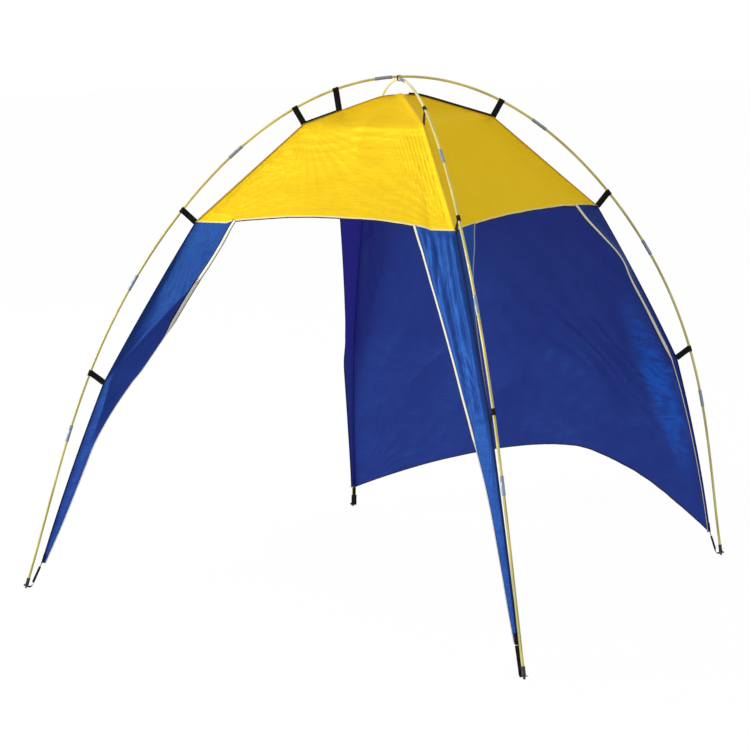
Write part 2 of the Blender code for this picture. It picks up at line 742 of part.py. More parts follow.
def roof_panel(name, left, right, gussets):
    """Sloping panel from the upper straps to the hem. Without gussets below it, its hem is straight."""
    width = np.linalg.norm(right.hem - left.hem)
    grid = []
    for r in range(ROOF_ROWS + 1):
        down = r / ROOF_ROWS
        row_left = left.upper * (1 - down) + left.hem * down
        row_right = right.upper * (1 - down) + right.hem * down
        row_width = np.linalg.norm(row_right - row_left)
        row = []
        for c in range(2 * ROOF_COLUMNS + 1):
            across = c / (2 * ROOF_COLUMNS)
            across = SEAM_GAP / row_width + across * (1 - 2 * SEAM_GAP / row_width)
            place = row_left * (1 - across) + row_right * across
            inward = unit(CROWN - (row_left + row_right) / 2 * LEVEL)
            place = place + inward * PANEL_SAG * math.sin(math.pi * across) * math.sin(math.pi * down)
            if gussets:
                place = place + UP * down ** 2 * hem_lift(across * width, width, gussets)
            if r == 0:
                place = place + unit(left.hem - left.upper) * SEAM_GAP
            row.append(place)
        grid.append(row)
    return cloth(name, grid, "yellow_nylon")


def bell(value, middle, width):
    """A smooth bump of height 1."""
    return math.exp(-(((value - middle) / width) ** 2))


def ease(value):
    """From 0 to 1 with soft ends."""
    share = min(1.0, max(0.0, value))
    return share * share * (3 - 2 * share)


def left_turn(corner, share, across):
    """Turn of the left front gusset: a soft fold runs from the leg strap up to the free edge."""
    strap = (corner.hem[2] - corner.leg[2]) / (corner.hem[2] - corner.tip[2])
    if share < strap:
        fold = 1 - ease((share - LEFT_FOLD_TOP) / (strap - LEFT_FOLD_TOP))
    else:
        fold = LEFT_FOLD_FOOT * ease((share - strap) / (strap / 2))
    fold = max(fold, LEFT_FOLD_NEAREST)
    turned = ease((across - fold) / LEFT_FOLD_SOFTNESS + 0.5) * ease((1 - share) / LEFT_FOLD_SOFTNESS)
    strip = EDGE_STRIP_TURN * bell(across, 0, EDGE_STRIP) * (1 - ease(share / strap))
    return LEFT_FACE_TURN + CURL * across + LEFT_FOLD_TURN * turned + strip


def right_turn(corner, share, across):
    """Turn of the right front gusset: a strip along the corner edge, and a long upright groove."""
    strap = (corner.hem[2] - corner.leg[2]) / (corner.hem[2] - corner.tip[2])
    groove = RIGHT_GROOVE_START + RIGHT_GROOVE_DRIFT * share
    waves = EDGE_STRIP_TURN * bell(across, 0, EDGE_STRIP)
    waves += RIGHT_GROOVE_TURN * bell(across, groove, RIGHT_GROOVE_WIDTH)
    return RIGHT_FACE_TURN * bell(share, strap / 2, strap) - waves * (1 - ease(share / strap - 1))


def side_turn(corner, share, across):
    """Turn of a side gusset, read from a short table of shares and turns."""
    return float(np.interp(share, *SIDE_TURNS[corner.name])) + CURL * across


def gusset_row(corner, neighbour, share, widths, columns, turn, near=0.0):
    """One row of a gusset, walked from (near) the corner edge in steps that turn with its folds.

    The widths are the one at the hem and how fast the gusset narrows from it.
    """
    start = corner.ridge(share)
    towards = unit(neighbour.ridge(share) - start)
    inward = (CROWN - start) * LEVEL
    inward = unit(inward - towards * (inward @ towards))
    top_width, taper = widths
    width = GUSSET_TIP_WIDTH + (top_width - GUSSET_TIP_WIDTH) * (1 - share) ** taper
    place = start + towards * near
    row = [place]
    for c in range(columns):
        angle = math.radians(turn(corner, share, (c + 0.5) / columns) * ease(share / HEM_FADE))
        place = place + (towards * math.cos(angle) + inward * math.sin(angle)) * (width - near) / columns
        row.append(place)
    return row


def front_leg_cloth(corner, front_neighbour, side_neighbour, front_turn):
    """Tapered cloth on a front leg: two gussets that meet on the corner edge."""
    front_widths = (FRONT_GUSSET_WIDTH, FRONT_GUSSET_TAPER)
    side_widths = (FRONT_LEG_SIDE_GUSSET_WIDTH, SIDE_GUSSET_TAPERS[corner.name])
    grid = []
    for r in range(LEG_ROWS + 1):
        share = corner.row_share(r)
        front = gusset_row(corner, front_neighbour, share, front_widths, FRONT_GUSSET_COLUMNS, front_turn)
        side = gusset_row(corner, side_neighbour, share, side_widths, SIDE_GUSSET_COLUMNS, side_turn)
        drop = UP * (SEAM_GAP if r == 0 else 0.0)
        grid.append([place - drop for place in side[::-1] + front[1:]])
    return cloth(corner.name + "_leg_cloth", grid, "blue_nylon", folded=True)


def back_leg_cloth(corner, side_neighbour):
    """Tapered cloth on a back leg: one gusset, sewn to the back wall on the corner edge."""
    widths = (BACK_LEG_SIDE_GUSSET_WIDTH, SIDE_GUSSET_TAPERS[corner.name])
    grid = []
    for r in range(LEG_ROWS + 1):
        share = corner.row_share(r)
        side = gusset_row(corner, side_neighbour, share, widths, SIDE_GUSSET_COLUMNS, side_turn, SEAM_GAP)
        drop = UP * (SEAM_GAP if r == 0 else 0.0)
        grid.append([place - drop for place in side])
    return cloth(corner.name + "_leg_cloth", grid, "blue_nylon")


def wall_hem_share(across):
    """Height of the back wall's hem above the tips, from 0 at a corner to 1 where it is highest."""
    if across < WALL_HEM_TOP:
        share = across / WALL_HEM_TOP
    else:
        share = (1 - across) / (1 - WALL_HEM_TOP)
    return 1 - (1 - share) ** WALL_HEM_CURVE


def back_wall(left, right):
    """Wall between the back legs. Its hem is arched, and its cloth hangs in soft folds."""
    grid = []
    for r in range(LEG_ROWS + 1):
        row = []
        for c in range(WALL_COLUMNS + 1):
            across = c / WALL_COLUMNS
            hem = WALL_HEM_RISE * wall_hem_share(across) / (left.hem[2] - left.tip[2])
            down = left.row_share(r) * (1 - hem)
            start = left.ridge(down)
            end = right.ridge(down)
            width = np.linalg.norm(end - start)
            across = SEAM_GAP / width + across * (1 - 2 * SEAM_GAP / width)
            place = start * (1 - across) + end * across
            swell = math.sin(math.pi * across) * math.sin(math.pi * WALL_FOLD_FADE * r / LEG_ROWS)
            wave = math.sin(2 * math.pi * WALL_FOLDS * (across + WALL_FOLD_DRIFT * down))
            place[1] += WALL_FOLD * swell * wave
            if r == 0:
                place[2] -= SEAM_GAP
            row.append(place)
        grid.append(row)
    return cloth("back_wall", grid, "blue_nylon")


# Assembly


def build():
    """Makes every piece of the tent."""
    half_depth = DEPTH / 2
    feet = {
        "left_front": np.array([-FRONT_HALF_WIDTH, -half_depth, 0.0]),
        "right_front": np.array([FRONT_HALF_WIDTH, -half_depth, 0.0]),
        "right_back": np.array([BACK_HALF_WIDTH, half_depth, 0.0]),
        "left_back": np.array([-BACK_HALF_WIDTH, half_depth, 0.0]),
    }
    top_pole = Pole(feet["left_front"], feet["right_back"], CROWN_HEIGHT)
    radius = crossing_radius(top_pole)
    under_height = CROWN_HEIGHT - 2 * radius - CROSSING_GAP
    under_pole = Pole(feet["right_front"], feet["left_back"], under_height)
    other_arch = Pole(feet["right_front"], feet["left_back"], CROWN_HEIGHT)
    corners = [
        Corner("left_front", feet["left_front"], top_pole, top_pole, True),
        Corner("right_front", feet["right_front"], under_pole, other_arch, True),
        Corner("right_back", feet["right_back"], top_pole, top_pole, False),
        Corner("left_back", feet["left_back"], under_pole, other_arch, False),
    ]
    left_front, right_front, right_back, left_back = corners

    ridge_way = unit(PEAK - left_front.upper)
    ridge_place = left_front.upper + ridge_way * RIDGE_STRAP_FROM_CORNER
    ridge_at = top_pole.nearest(ridge_place)

    for pole in (top_pole, under_pole):
        own = [corner for corner in corners if corner.pole is pole]
        fixed = [0.0, pole.length, pole.length / 2, pole.front_length]
        for corner in own:
            fixed += [corner.on_pole(x) for x in (NOSE_LENGTH, CAP_LENGTH, POLE_END)]
            for number in range(1, SECTIONS_PER_HALF + 1):
                joint = number * pole.section
                fixed += [corner.on_pole(joint + x) for x in (-FERRULE_LENGTH / 2, 0.0, FERRULE_LENGTH / 2)]
            for x in (corner.upper_at, corner.hem_at, corner.leg_at):
                fixed += [x - WEBBING_WIDTH / 2, x + WEBBING_WIDTH / 2]
        if pole is top_pole:
            fixed += [ridge_at - WEBBING_WIDTH / 2, ridge_at + WEBBING_WIDTH / 2]
        pole.set_rings(fixed)

    for corner in corners:
        for number in range(1, SECTIONS_PER_HALF + 1):
            pole_section(corner, number)
        leg_ferrule(corner)
        foot_cap(corner)
        shock_cord(corner)
        foot_tie(corner)
        pole = corner.pole
        slope = unit(corner.hem - corner.upper)
        upper_way = unit(slope + unit(corner.upper - PEAK))
        hem_way = unit(slope + corner.edge_direction(corner.hem[2]))
        leg_way = corner.edge_direction(corner.leg[2])
        loop_strap(corner.name + "_upper_strap", pole, corner.upper_at, corner.upper, upper_way)
        loop_strap(corner.name + "_hem_strap", pole, corner.hem_at, corner.hem, hem_way)
        loop_strap(corner.name + "_leg_strap", pole, corner.leg_at, corner.leg, leg_way)

    loop_strap("ridge_strap", top_pole, ridge_at, ridge_place, ridge_way)
    crown_tie(top_pole, under_pole, radius)
    roof_top(corners)
    side_gussets = (FRONT_LEG_SIDE_GUSSET_WIDTH, BACK_LEG_SIDE_GUSSET_WIDTH)
    roof_panel("roof_front", left_front, right_front, (FRONT_GUSSET_WIDTH, FRONT_GUSSET_WIDTH))
    roof_panel("roof_right", right_front, right_back, side_gussets)
    roof_panel("roof_back", right_back, left_back, None)
    roof_panel("roof_left", left_back, left_front, side_gussets[::-1])
    front_leg_cloth(left_front, right_front, left_back, left_turn)
    front_leg_cloth(right_front, left_front, right_back, right_turn)
    back_leg_cloth(right_back, right_front)
    back_leg_cloth(left_back, left_front)
    back_wall(left_back, right_back)

    for pole, word in ((top_pole, "top"), (under_pole, "under")):
        print(word, "pole length", round(pole.length, 4), "section", round(pole.section, 4))
    for corner in corners:
        joint = corner.on_pole(corner.pole.section)
        along = corner.pole.frame(joint)[0]
        print(corner.name, "leg joint", np.round(corner.pole.point(joint), 5),
              "leg axis", np.round(along if along[2] < 0 else -along, 6))
        print(corner.name, "canopy points", np.round(corner.upper, 4), np.round(corner.hem, 4),
              np.round(corner.leg, 4), np.round(corner.tip, 4))


for thing in list(bpy.data.objects):
    bpy.data.objects.remove(thing, do_unlink=True)
build()
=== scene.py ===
# %% [markdown]
# # A folding beach tent
# Two glass-fibre poles cross at the crown and stand on four feet. A yellow roof, four blue leg
# cloths and a blue back wall hang below them on loops of black webbing. The frame that is loaded
# here already holds every pole, strap and cloth as a plain solid at its real size. The lesson
# makes the fine pieces that take their places, and reads all places from the frame, so that
# nothing has to be fitted by eye.

# %% Load the frame
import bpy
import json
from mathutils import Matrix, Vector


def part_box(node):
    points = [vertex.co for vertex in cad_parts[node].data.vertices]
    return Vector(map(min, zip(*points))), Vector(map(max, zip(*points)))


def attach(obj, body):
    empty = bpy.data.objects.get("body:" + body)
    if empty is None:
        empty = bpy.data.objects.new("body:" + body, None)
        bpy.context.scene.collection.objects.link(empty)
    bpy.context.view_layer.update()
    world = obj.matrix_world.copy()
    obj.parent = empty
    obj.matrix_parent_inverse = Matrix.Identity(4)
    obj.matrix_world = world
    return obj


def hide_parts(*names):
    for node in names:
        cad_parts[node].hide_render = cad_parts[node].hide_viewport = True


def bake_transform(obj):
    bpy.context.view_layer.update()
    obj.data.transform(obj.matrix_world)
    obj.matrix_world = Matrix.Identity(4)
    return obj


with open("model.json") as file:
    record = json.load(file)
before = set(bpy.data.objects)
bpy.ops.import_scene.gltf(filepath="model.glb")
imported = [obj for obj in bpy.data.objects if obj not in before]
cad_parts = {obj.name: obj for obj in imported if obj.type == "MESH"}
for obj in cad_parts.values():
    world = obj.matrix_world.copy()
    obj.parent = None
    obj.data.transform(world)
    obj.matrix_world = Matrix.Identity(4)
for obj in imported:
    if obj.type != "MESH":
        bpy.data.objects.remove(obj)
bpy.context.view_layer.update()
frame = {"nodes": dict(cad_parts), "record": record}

# %% Modules and directions
import json
import math

import bmesh
import bpy
import numpy as np
from mathutils import Matrix

UP = np.array([0.0, 0.0, 1.0])
LEVEL = np.array([1.0, 1.0, 0.0])


def unit(vector):
    """A vector, or each row of a table of vectors, scaled to length one."""
    vector = np.asarray(vector, dtype=float)
    return vector / np.linalg.norm(vector, axis=-1, keepdims=True)


print("Blender", bpy.app.version_string, "and numpy", np.__version__)

# %% [markdown]
# ## The camera
# A long lens far away keeps the tent's upright lines nearly parallel, as in the picture of the
# tent. The camera could be aimed with a Track To constraint, but its slight tilt would be lost,
# so its three directions are worked out from a heading, a dip and a tilt instead.

# %% Put a thing in the scene
def put(name, data):
    """A new object for a mesh, a lamp or a camera."""
    thing = bpy.data.objects.new(name, data)
    bpy.context.scene.collection.objects.link(thing)
    return thing


def stand(thing, right, upward, backward, place):
    """Gives a thing its three directions and its place."""
    matrix = Matrix.Identity(4)
    for column, way in enumerate((right, upward, backward, place)):
        for row in range(3):
            matrix[row][column] = float(way[row])
    thing.matrix_world = matrix


# %% Camera
CAMERA_PLACE = (5.2695, -6.9569, 2.2474)
CAMERA_HEADING = math.radians(-37.641)
CAMERA_DIP = math.radians(-9.127)
CAMERA_TILT = math.radians(-2.053)
CAMERA_LENS = 103.59
SENSOR = 36.0
FARTHEST_SEEN = 200.0


def camera_ways(heading, dip, tilt):
    """The camera's directions: right, up and backwards."""
    ahead = np.array([math.cos(dip) * math.sin(heading), math.cos(dip) * math.cos(heading), math.sin(dip)])
    level = np.array([math.cos(heading), -math.sin(heading), 0.0])
    square = np.cross(level, ahead)
    right = math.cos(tilt) * level + math.sin(tilt) * square
    return right, math.cos(tilt) * square - math.sin(tilt) * level, -ahead


camera_data = bpy.data.cameras.new("camera")
camera_data.lens = CAMERA_LENS
camera_data.sensor_width = SENSOR
camera_data.clip_end = FARTHEST_SEEN
camera = put("camera", camera_data)
stand(camera, *camera_ways(CAMERA_HEADING, CAMERA_DIP, CAMERA_TILT), CAMERA_PLACE)
bpy.context.scene.camera = camera
print("camera", round(math.dist(CAMERA_PLACE, (0, 0, 1)), 2), "m from the middle of the tent")

# %% [markdown]
# ## Places read from the frame
# Every solid of the frame is a mesh with its corners in metres. The corner of the roof's top that
# lies farthest out is where a strap holds it, and the lowest corner of a leg cloth is its tip.
# Reading such corners is safer than typing numbers a second time.

# %% Corners of the solids
def node_points(node):
    """All corners of a solid, each once."""
    points = np.array([vertex.co[:] for vertex in frame["nodes"][node].data.vertices])
    return np.unique(points.round(5), axis=0)


def farthest(node, way):
    """The corner of a solid that lies farthest in a direction."""
    points = node_points(node)
    return points[np.argmax(points @ np.asarray(way))]


FEET = {mount["name"][:-5]: np.array(mount["pos_m"]) for mount in frame["record"]["mounts"]}
CORNERS = ("left_front", "right_front", "right_back", "left_back")
FRONT_Y = FEET["left_front"][1]
SPREAD = FEET["right_front"][0] / (FEET["right_front"][0] + FEET["right_back"][0])
CROWN = np.array([0.0, FRONT_Y + (FEET["right_back"][1] - FRONT_Y) * SPREAD, 0.0])
print("feet", {name: place.tolist() for name, place in FEET.items()}, "crown at y", round(CROWN[1], 4))

# %% [markdown]
# ## The middle line of a pole
# A bent pole has no simple formula, but the elastic cord inside each pole is a chain of small
# rings. The middles of those rings are points of the pole's middle line. A smooth curve through
# them gives a line that can be read at any distance from the foot.

# %% A smooth line
LINE_STEP = 0.004


def smooth_line(points, step=LINE_STEP):
    """Points close together on a smooth curve through a few points."""
    points = np.asarray(points, dtype=float)
    gaps = np.linalg.norm(np.diff(points, axis=0), axis=1)
    slopes = np.diff(points, axis=0) / gaps[:, None]
    weight = gaps[:-1] / (gaps[:-1] + gaps[1:])
    inner = slopes[:-1] * (1 - weight)[:, None] + slopes[1:] * weight[:, None]
    tangents = np.vstack([2 * slopes[0] - inner[0], inner, 2 * slopes[-1] - inner[-1]])
    line = [points[:1]]
    for i, gap in enumerate(gaps):
        t = np.linspace(0, 1, max(2, math.ceil(gap / step) + 1))[1:, None]
        line.append((2 * t**3 - 3 * t**2 + 1) * points[i] + (t**3 - 2 * t**2 + t) * gap * tangents[i]
                    + (3 * t**2 - 2 * t**3) * points[i + 1] + (t**3 - t**2) * gap * tangents[i + 1])
    return np.vstack(line)


class Line:
    """A curve that is read by the distance along it."""

    def __init__(self, points):
        self.points = np.asarray(points, dtype=float)
        self.run = np.concatenate([[0], np.cumsum(np.linalg.norm(np.diff(self.points, axis=0), axis=1))])
        self.length = float(self.run[-1])
        self.ways = unit(np.gradient(self.points, self.run, axis=0))

    def place(self, distance):
        """The point at a distance from the start."""
        return np.array([np.interp(distance, self.run, self.points[:, k]) for k in range(3)]).T

    def way(self, distance):
        """The direction of the curve at a distance from the start."""
        return unit(np.array([np.interp(distance, self.run, self.ways[:, k]) for k in range(3)]).T)

    def gaps(self, points):
        """Distances of points from the curve."""
        return np.array([np.linalg.norm(self.points - point, axis=1).min() for point in points])

    def nearest(self, place):
        """The distance from the start to the point nearest to a place."""
        return float(self.run[np.argmin(np.linalg.norm(self.points - place, axis=1))])

    def side(self):
        """The level direction that is square to the plane of a bent pole."""
        return unit(np.cross(self.way(self.length / 2), UP))


print("points on a smooth line are at most", LINE_STEP, "m apart")

# %% Read both poles
RING_REACH = 0.005


def ring_middles(corner):
    """Middles of the rings of the cord inside one half of a pole, from the foot up."""
    left = node_points(corner + "_shock_cord")
    here = FEET[corner]
    middles = [here]
    while len(left):
        start = left[np.argmin(np.linalg.norm(left - here, axis=1))]
        near = np.linalg.norm(left - start, axis=1) < RING_REACH
        here = left[near].mean(axis=0)
        middles.append(here)
        left = left[~near]
    return middles


def read_pole(front, back):
    """The middle line of a whole pole, from its front foot to its back foot."""
    return Line(smooth_line(ring_middles(front) + ring_middles(back)[::-1]))


top_pole = read_pole("left_front", "right_back")
under_pole = read_pole("right_front", "left_back")
POLES = dict(zip(CORNERS, (top_pole, under_pole, top_pole, under_pole)))
print("pole lengths", round(top_pole.length, 3), round(under_pole.length, 3))

# %% One corner of the tent
EDGE_SLACK = 0.35
TIP_LEAN = 0.1
LOOP_REACH = 0.012


class Corner:
    """One leg of the tent: its pole, and the points where straps hold the cloth."""

    def __init__(self, name, panel):
        self.name = name
        self.pole = POLES[name]
        self.in_front = name.endswith("front")
        self.foot = FEET[name]
        self.out = unit((self.foot - CROWN) * LEVEL)
        self.upper = farthest("roof_top", self.out)
        self.hem = farthest(panel, self.out - UP)
        self.tip = farthest(name + "_leg_cloth", self.out * TIP_LEAN - UP)
        self.leg = self.strap_end(name + "_leg_strap")

    def on_pole(self, distance):
        """A distance up from this foot, as a distance along the whole pole."""
        return distance if self.in_front else self.pole.length - distance

    def strap_end(self, strap):
        """Middle of a strap's far end: the mean of its four corners farthest from the pole."""
        points = node_points(strap)
        return points[np.argsort(self.pole.gaps(points))[-4:]].mean(axis=0)

    def strap_on_pole(self, strap):
        """Where a strap's loop sits, as a distance along the whole pole."""
        points = node_points(strap)
        points = points[self.pole.gaps(points) < LOOP_REACH]
        return float(np.mean([self.pole.nearest(point) for point in points]))

    def ridge(self, share):
        """Corner edge of the leg cloth, from the hem (0) to the tip (1), for one or many shares.

        It is pulled nearly straight above and below the leg strap. A little bow is left in it.
        """
        height = (self.hem[2] + (self.tip[2] - self.hem[2]) * np.asarray(share, dtype=float))[..., None]
        upper_slope = (self.hem - self.leg) / (self.hem[2] - self.leg[2])
        lower_slope = (self.leg - self.tip) / (self.leg[2] - self.tip[2])
        bow = EDGE_SLACK * (upper_slope - lower_slope) / (self.hem[2] - self.tip[2])
        above = height - self.leg[2]
        upper = (upper_slope + bow * (height - self.hem[2])) * above
        lower = (lower_slope + bow * (height - self.tip[2])) * above
        return self.leg + np.where(above > 0, upper, lower)


corners = {name: Corner(name, "roof_front" if "front" in name else "roof_back") for name in CORNERS}
left_front, right_front, right_back, left_back = (corners[name] for name in CORNERS)
for corner in corners.values():
    print(corner.name, "upper", corner.upper.round(3), "hem", corner.hem.round(3),
          "leg", corner.leg.round(3), "tip", corner.tip.round(3))

# %% [markdown]
# ## One way to make every surface
# Tubes, tapes and cloth are all rows of points with faces between them. One function joins the
# rows and writes a UV map in metres, so that weave and stitches keep their real size on every
# piece. Blender's curves with a bevel could make the tubes too, but not the cloth, and their UV
# maps aren't in metres.

# %% Rows of points to a mesh
SHARP = math.radians(40.0)


def surface(name, rows, ring=False, loop=False, caps=False):
    """Joins rows of points. ring joins the ends of each row, loop joins the last row to the first."""
    rows = np.asarray(rows, dtype=float)
    count, across = rows.shape[:2]
    steps = np.linalg.norm(np.diff(rows, axis=0, append=rows[:1]), axis=2).mean(axis=1)
    widths = np.linalg.norm(np.diff(rows, axis=1, append=rows[:, :1]), axis=2).mean(axis=0)
    along = np.concatenate([[0], np.cumsum(steps)])
    round_it = np.concatenate([[0], np.cumsum(widths)])
    faces = []
    marks = []
    for r in range(count if loop else count - 1):
        here = r * across
        there = (r + 1) % count * across
        for c in range(across if ring else across - 1):
            d = (c + 1) % across
            faces.append((here + c, here + d, there + d, there + c))
            marks += [(along[r], round_it[c]), (along[r], round_it[c + 1]),
                      (along[r + 1], round_it[c + 1]), (along[r + 1], round_it[c])]
    if caps:
        faces += [tuple(range(across))[::-1], tuple(range((count - 1) * across, count * across))]
        marks += [(0.0, 0.0)] * (2 * across)
    mesh = bpy.data.meshes.new(name)
    mesh.from_pydata(rows.reshape(-1, 3).tolist(), [], faces)
    mesh.uv_layers.new(name="metres").data.foreach_set("uv", np.array(marks, dtype=np.float32).ravel())
    return mesh


def piece(name, mesh, material, body, replaced=(), sharp=SHARP, outward=False):
    """An object for a mesh: its finish, its body and the solids it replaces."""
    if outward:
        shape = bmesh.new()
        shape.from_mesh(mesh)
        bmesh.ops.recalc_face_normals(shape, faces=shape.faces)
        shape.to_mesh(mesh)
        shape.free()
    mesh.shade_smooth()
    mesh.set_sharp_from_angle(angle=sharp)
    thing = put(name, mesh)
    thing.data.materials.append(material)
    if body:
        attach(thing, body)
    if replaced:
        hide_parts(*replaced)
    return thing


print("faces that meet at more than", round(math.degrees(SHARP)), "degrees get a sharp edge")

# %% [markdown]
# ## Sweeping and turning
# Straps, tapes and cords are swept: one small outline is carried along a path. A curve with a bevel
# object would do that too, but it turns its outline by its own rule. Here every point of the path
# has its own direction for the width, because a tape on a cloth's edge lies flat on the cloth and
# turns with it. Tubes and caps are turned instead: a profile of radii is carried along a pole.

# %% Sweep an outline along a path
EDGE_STEPS = 3
CORD_SIDES = 10


def flat_outline(width, thickness, offset=0.0):
    """The outline of a tape with round edges, moved sideways by an offset."""
    radius = thickness / 2
    angles = np.linspace(-math.pi / 2, math.pi / 2, EDGE_STEPS + 1)
    right = [(offset + width / 2 - radius + radius * math.cos(a), radius * math.sin(a)) for a in angles]
    left = [(offset - width / 2 + radius - radius * math.cos(a), -radius * math.sin(a)) for a in angles]
    return np.array(right + left)


def round_outline(radius):
    """The outline of a cord."""
    angles = np.arange(CORD_SIDES) * 2 * math.pi / CORD_SIDES
    return radius * np.column_stack([np.cos(angles), np.sin(angles)])


def swept(name, path, across, outline, scale=1.0):
    """Carries an outline along a path. across is the direction of the width, and scale narrows it."""
    path = np.asarray(path, dtype=float)
    ways = unit(np.gradient(path, axis=0))
    across = np.broadcast_to(across, path.shape)
    across = unit(across - ways * (across * ways).sum(axis=1)[:, None])
    above = np.cross(ways, across)
    across = across * np.broadcast_to(scale, len(path))[:, None]
    rows = path[:, None] + across[:, None] * outline[None, :, :1] + above[:, None] * outline[None, :, 1:]
    return surface(name, rows, ring=True, caps=True)


print("a tape's outline has", len(flat_outline(0.02, 0.002)), "points, a cord's", len(round_outline(0.002)))

# %% Turn a profile round a pole
RING_STEP = 0.02


def turned(name, line, profile, sides, is_tube):
    """Carries a profile of (distance, radius) along a pole. A tube's profile is a closed loop."""
    marks = list(profile) + [profile[0]] if is_tube else list(profile)
    stations = []
    for (start, radius), (end, next_radius) in zip(marks, marks[1:]):
        steps = max(1, math.ceil(abs(end - start) / RING_STEP))
        shares = np.arange(steps) / steps
        stations += [(start + (end - start) * s, radius + (next_radius - radius) * s) for s in shares]
    if not is_tube:
        stations.append(marks[-1])
    distances = np.array([station[0] for station in stations])
    radii = np.array([station[1] for station in stations])[:, None, None]
    side = line.side()
    inward = np.cross(line.way(distances), side)
    angles = (np.arange(sides) * 2 * math.pi / sides)[None, :, None]
    rows = line.place(distances)[:, None] + radii * (
        np.cos(angles) * inward[:, None] + np.sin(angles) * side[None, None])
    return surface(name, rows, ring=True, loop=is_tube, caps=not is_tube)


print("rings of a turned piece are at most", RING_STEP, "m apart")

# %% [markdown]
# ## Finishes
# A finish is a small tree of nodes. It could be drawn by hand in Blender's shader editor, but a
# script can be read and repeated. The class below keeps such a tree short to write: it adds a node,
# joins sockets, and mixes colours. Every pattern is procedural. Patterns on tapes, cords and poles
# read the UV map in metres, and those on cloth read places on the object.

# %% A short way to write node trees
class Finish:
    """One material and its node tree, with a Principled shader."""

    def __init__(self, name, roughness, metallic=0.0):
        self.material = bpy.data.materials.new(name)
        self.material.use_nodes = True
        self.tree = self.material.node_tree
        self.shader = self.tree.nodes["Principled BSDF"]
        self.shader.inputs["Roughness"].default_value = roughness
        self.shader.inputs["Metallic"].default_value = metallic
        places = self.add("ShaderNodeTexCoord")
        self.object = places.outputs["Object"]
        self.metres = places.outputs["UV"]

    def add(self, kind, **values):
        """A node, with its properties set by name."""
        node = self.tree.nodes.new(kind)
        for key, value in values.items():
            setattr(node, key, value)
        return node

    def feed(self, socket, value):
        """A socket's value: a number, a colour, or another node's output."""
        if isinstance(value, bpy.types.NodeSocket):
            self.tree.links.new(value, socket)
        elif isinstance(value, tuple) and len(value) == 3 and len(socket.default_value) == 4:
            socket.default_value = (*value, 1.0)
        else:
            socket.default_value = value

    def math(self, operation, first, second=0.0):
        """The result of one Math node."""
        node = self.add("ShaderNodeMath", operation=operation)
        self.feed(node.inputs[0], first)
        self.feed(node.inputs[1], second)
        return node.outputs[0]

    def vector(self, operation, first, second):
        """The result of one Vector Math node."""
        node = self.add("ShaderNodeVectorMath", operation=operation)
        self.feed(node.inputs[0], first)
        self.feed(node.inputs[1], second)
        return node.outputs["Vector"]

    def wave(self, value, pitch):
        """A sine wave that repeats after each pitch."""
        return self.math("SINE", self.math("MULTIPLY", value, math.tau / pitch))

    def noise(self, size, detail, roughness=0.5, stretch=(1.0, 1.0, 1.0), places=None):
        """Soft noise with swells of about one size, in metres."""
        places = self.object if places is None else places
        scaled = self.vector("MULTIPLY", places, tuple(way / size for way in stretch))
        node = self.add("ShaderNodeTexNoise")
        self.feed(node.inputs["Vector"], scaled)
        self.feed(node.inputs["Scale"], 1.0)
        self.feed(node.inputs["Detail"], detail)
        self.feed(node.inputs["Roughness"], roughness)
        return node.outputs["Fac"]

    def creases(self, size, detail, stretch=(1.0, 1.0, 1.0)):
        """Sharp valleys where the noise passes through its middle."""
        return self.math("ABSOLUTE", self.math("SUBTRACT", self.noise(size, detail, 0.5, stretch), 0.5))

    def ramp(self, value, low, high, start=0.0, end=1.0):
        """Turns a value from low to high into one from start to end."""
        node = self.add("ShaderNodeMapRange", clamp=True)
        for socket, number in zip(node.inputs, (value, low, high, start, end)):
            self.feed(socket, number)
        return node.outputs[0]

    def mix(self, share, first, second):
        """Mixes two colours."""
        node = self.add("ShaderNodeMix", data_type="RGBA")
        self.feed(node.inputs[0], share)
        self.feed(node.inputs[6], first)
        self.feed(node.inputs[7], second)
        return node.outputs[2]

    def bump(self, height, depth, below=None):
        """A relief of a depth in metres, on top of another one."""
        node = self.add("ShaderNodeBump")
        self.feed(node.inputs["Height"], height)
        self.feed(node.inputs["Distance"], depth)
        if below is not None:
            self.feed(node.inputs["Normal"], below)
        return node.outputs[0]

    def along_and_round(self):
        """The two coordinates of the UV map: metres along a piece and metres round it."""
        node = self.add("ShaderNodeSeparateXYZ")
        self.feed(node.inputs[0], self.metres)
        return node.outputs[0], node.outputs[1]

    def set(self, **values):
        """Feeds the shader's sockets. An underscore in a name stands for a space."""
        for key, value in values.items():
            self.feed(self.shader.inputs[key.replace("_", " ")], value)
        return self.material


print("a finish can", [name for name in vars(Finish) if not name.startswith("_")])

# %% [markdown]
# ### Coated nylon
# The cloth is a thin taffeta with a smooth coat. Its threads are dyed glass-clear nylon, so even
# its shine has the colour of the cloth. One Principled shader could make it, but the two layers over
# the dye are easier to set by themselves: a Glossy shader gives the coloured shine, and a
# Translucent shader the light that comes through the single thin cloth. The wall has a patch with
# fine creases near its right edge, where a painted highlight makes the colour paler in the creases.

# %% The painted highlight patch of the wall
HIGHLIGHT_PLACE = (0.750, 0.0, 0.73)
HIGHLIGHT_REACH = (0.085, 0.440)
HIGHLIGHT_LEAN = 0.288
HIGHLIGHT_BLUE = (0.009, 0.100, 0.52)
HIGHLIGHT_STRETCH = (0.5, 0.5, 1.4)


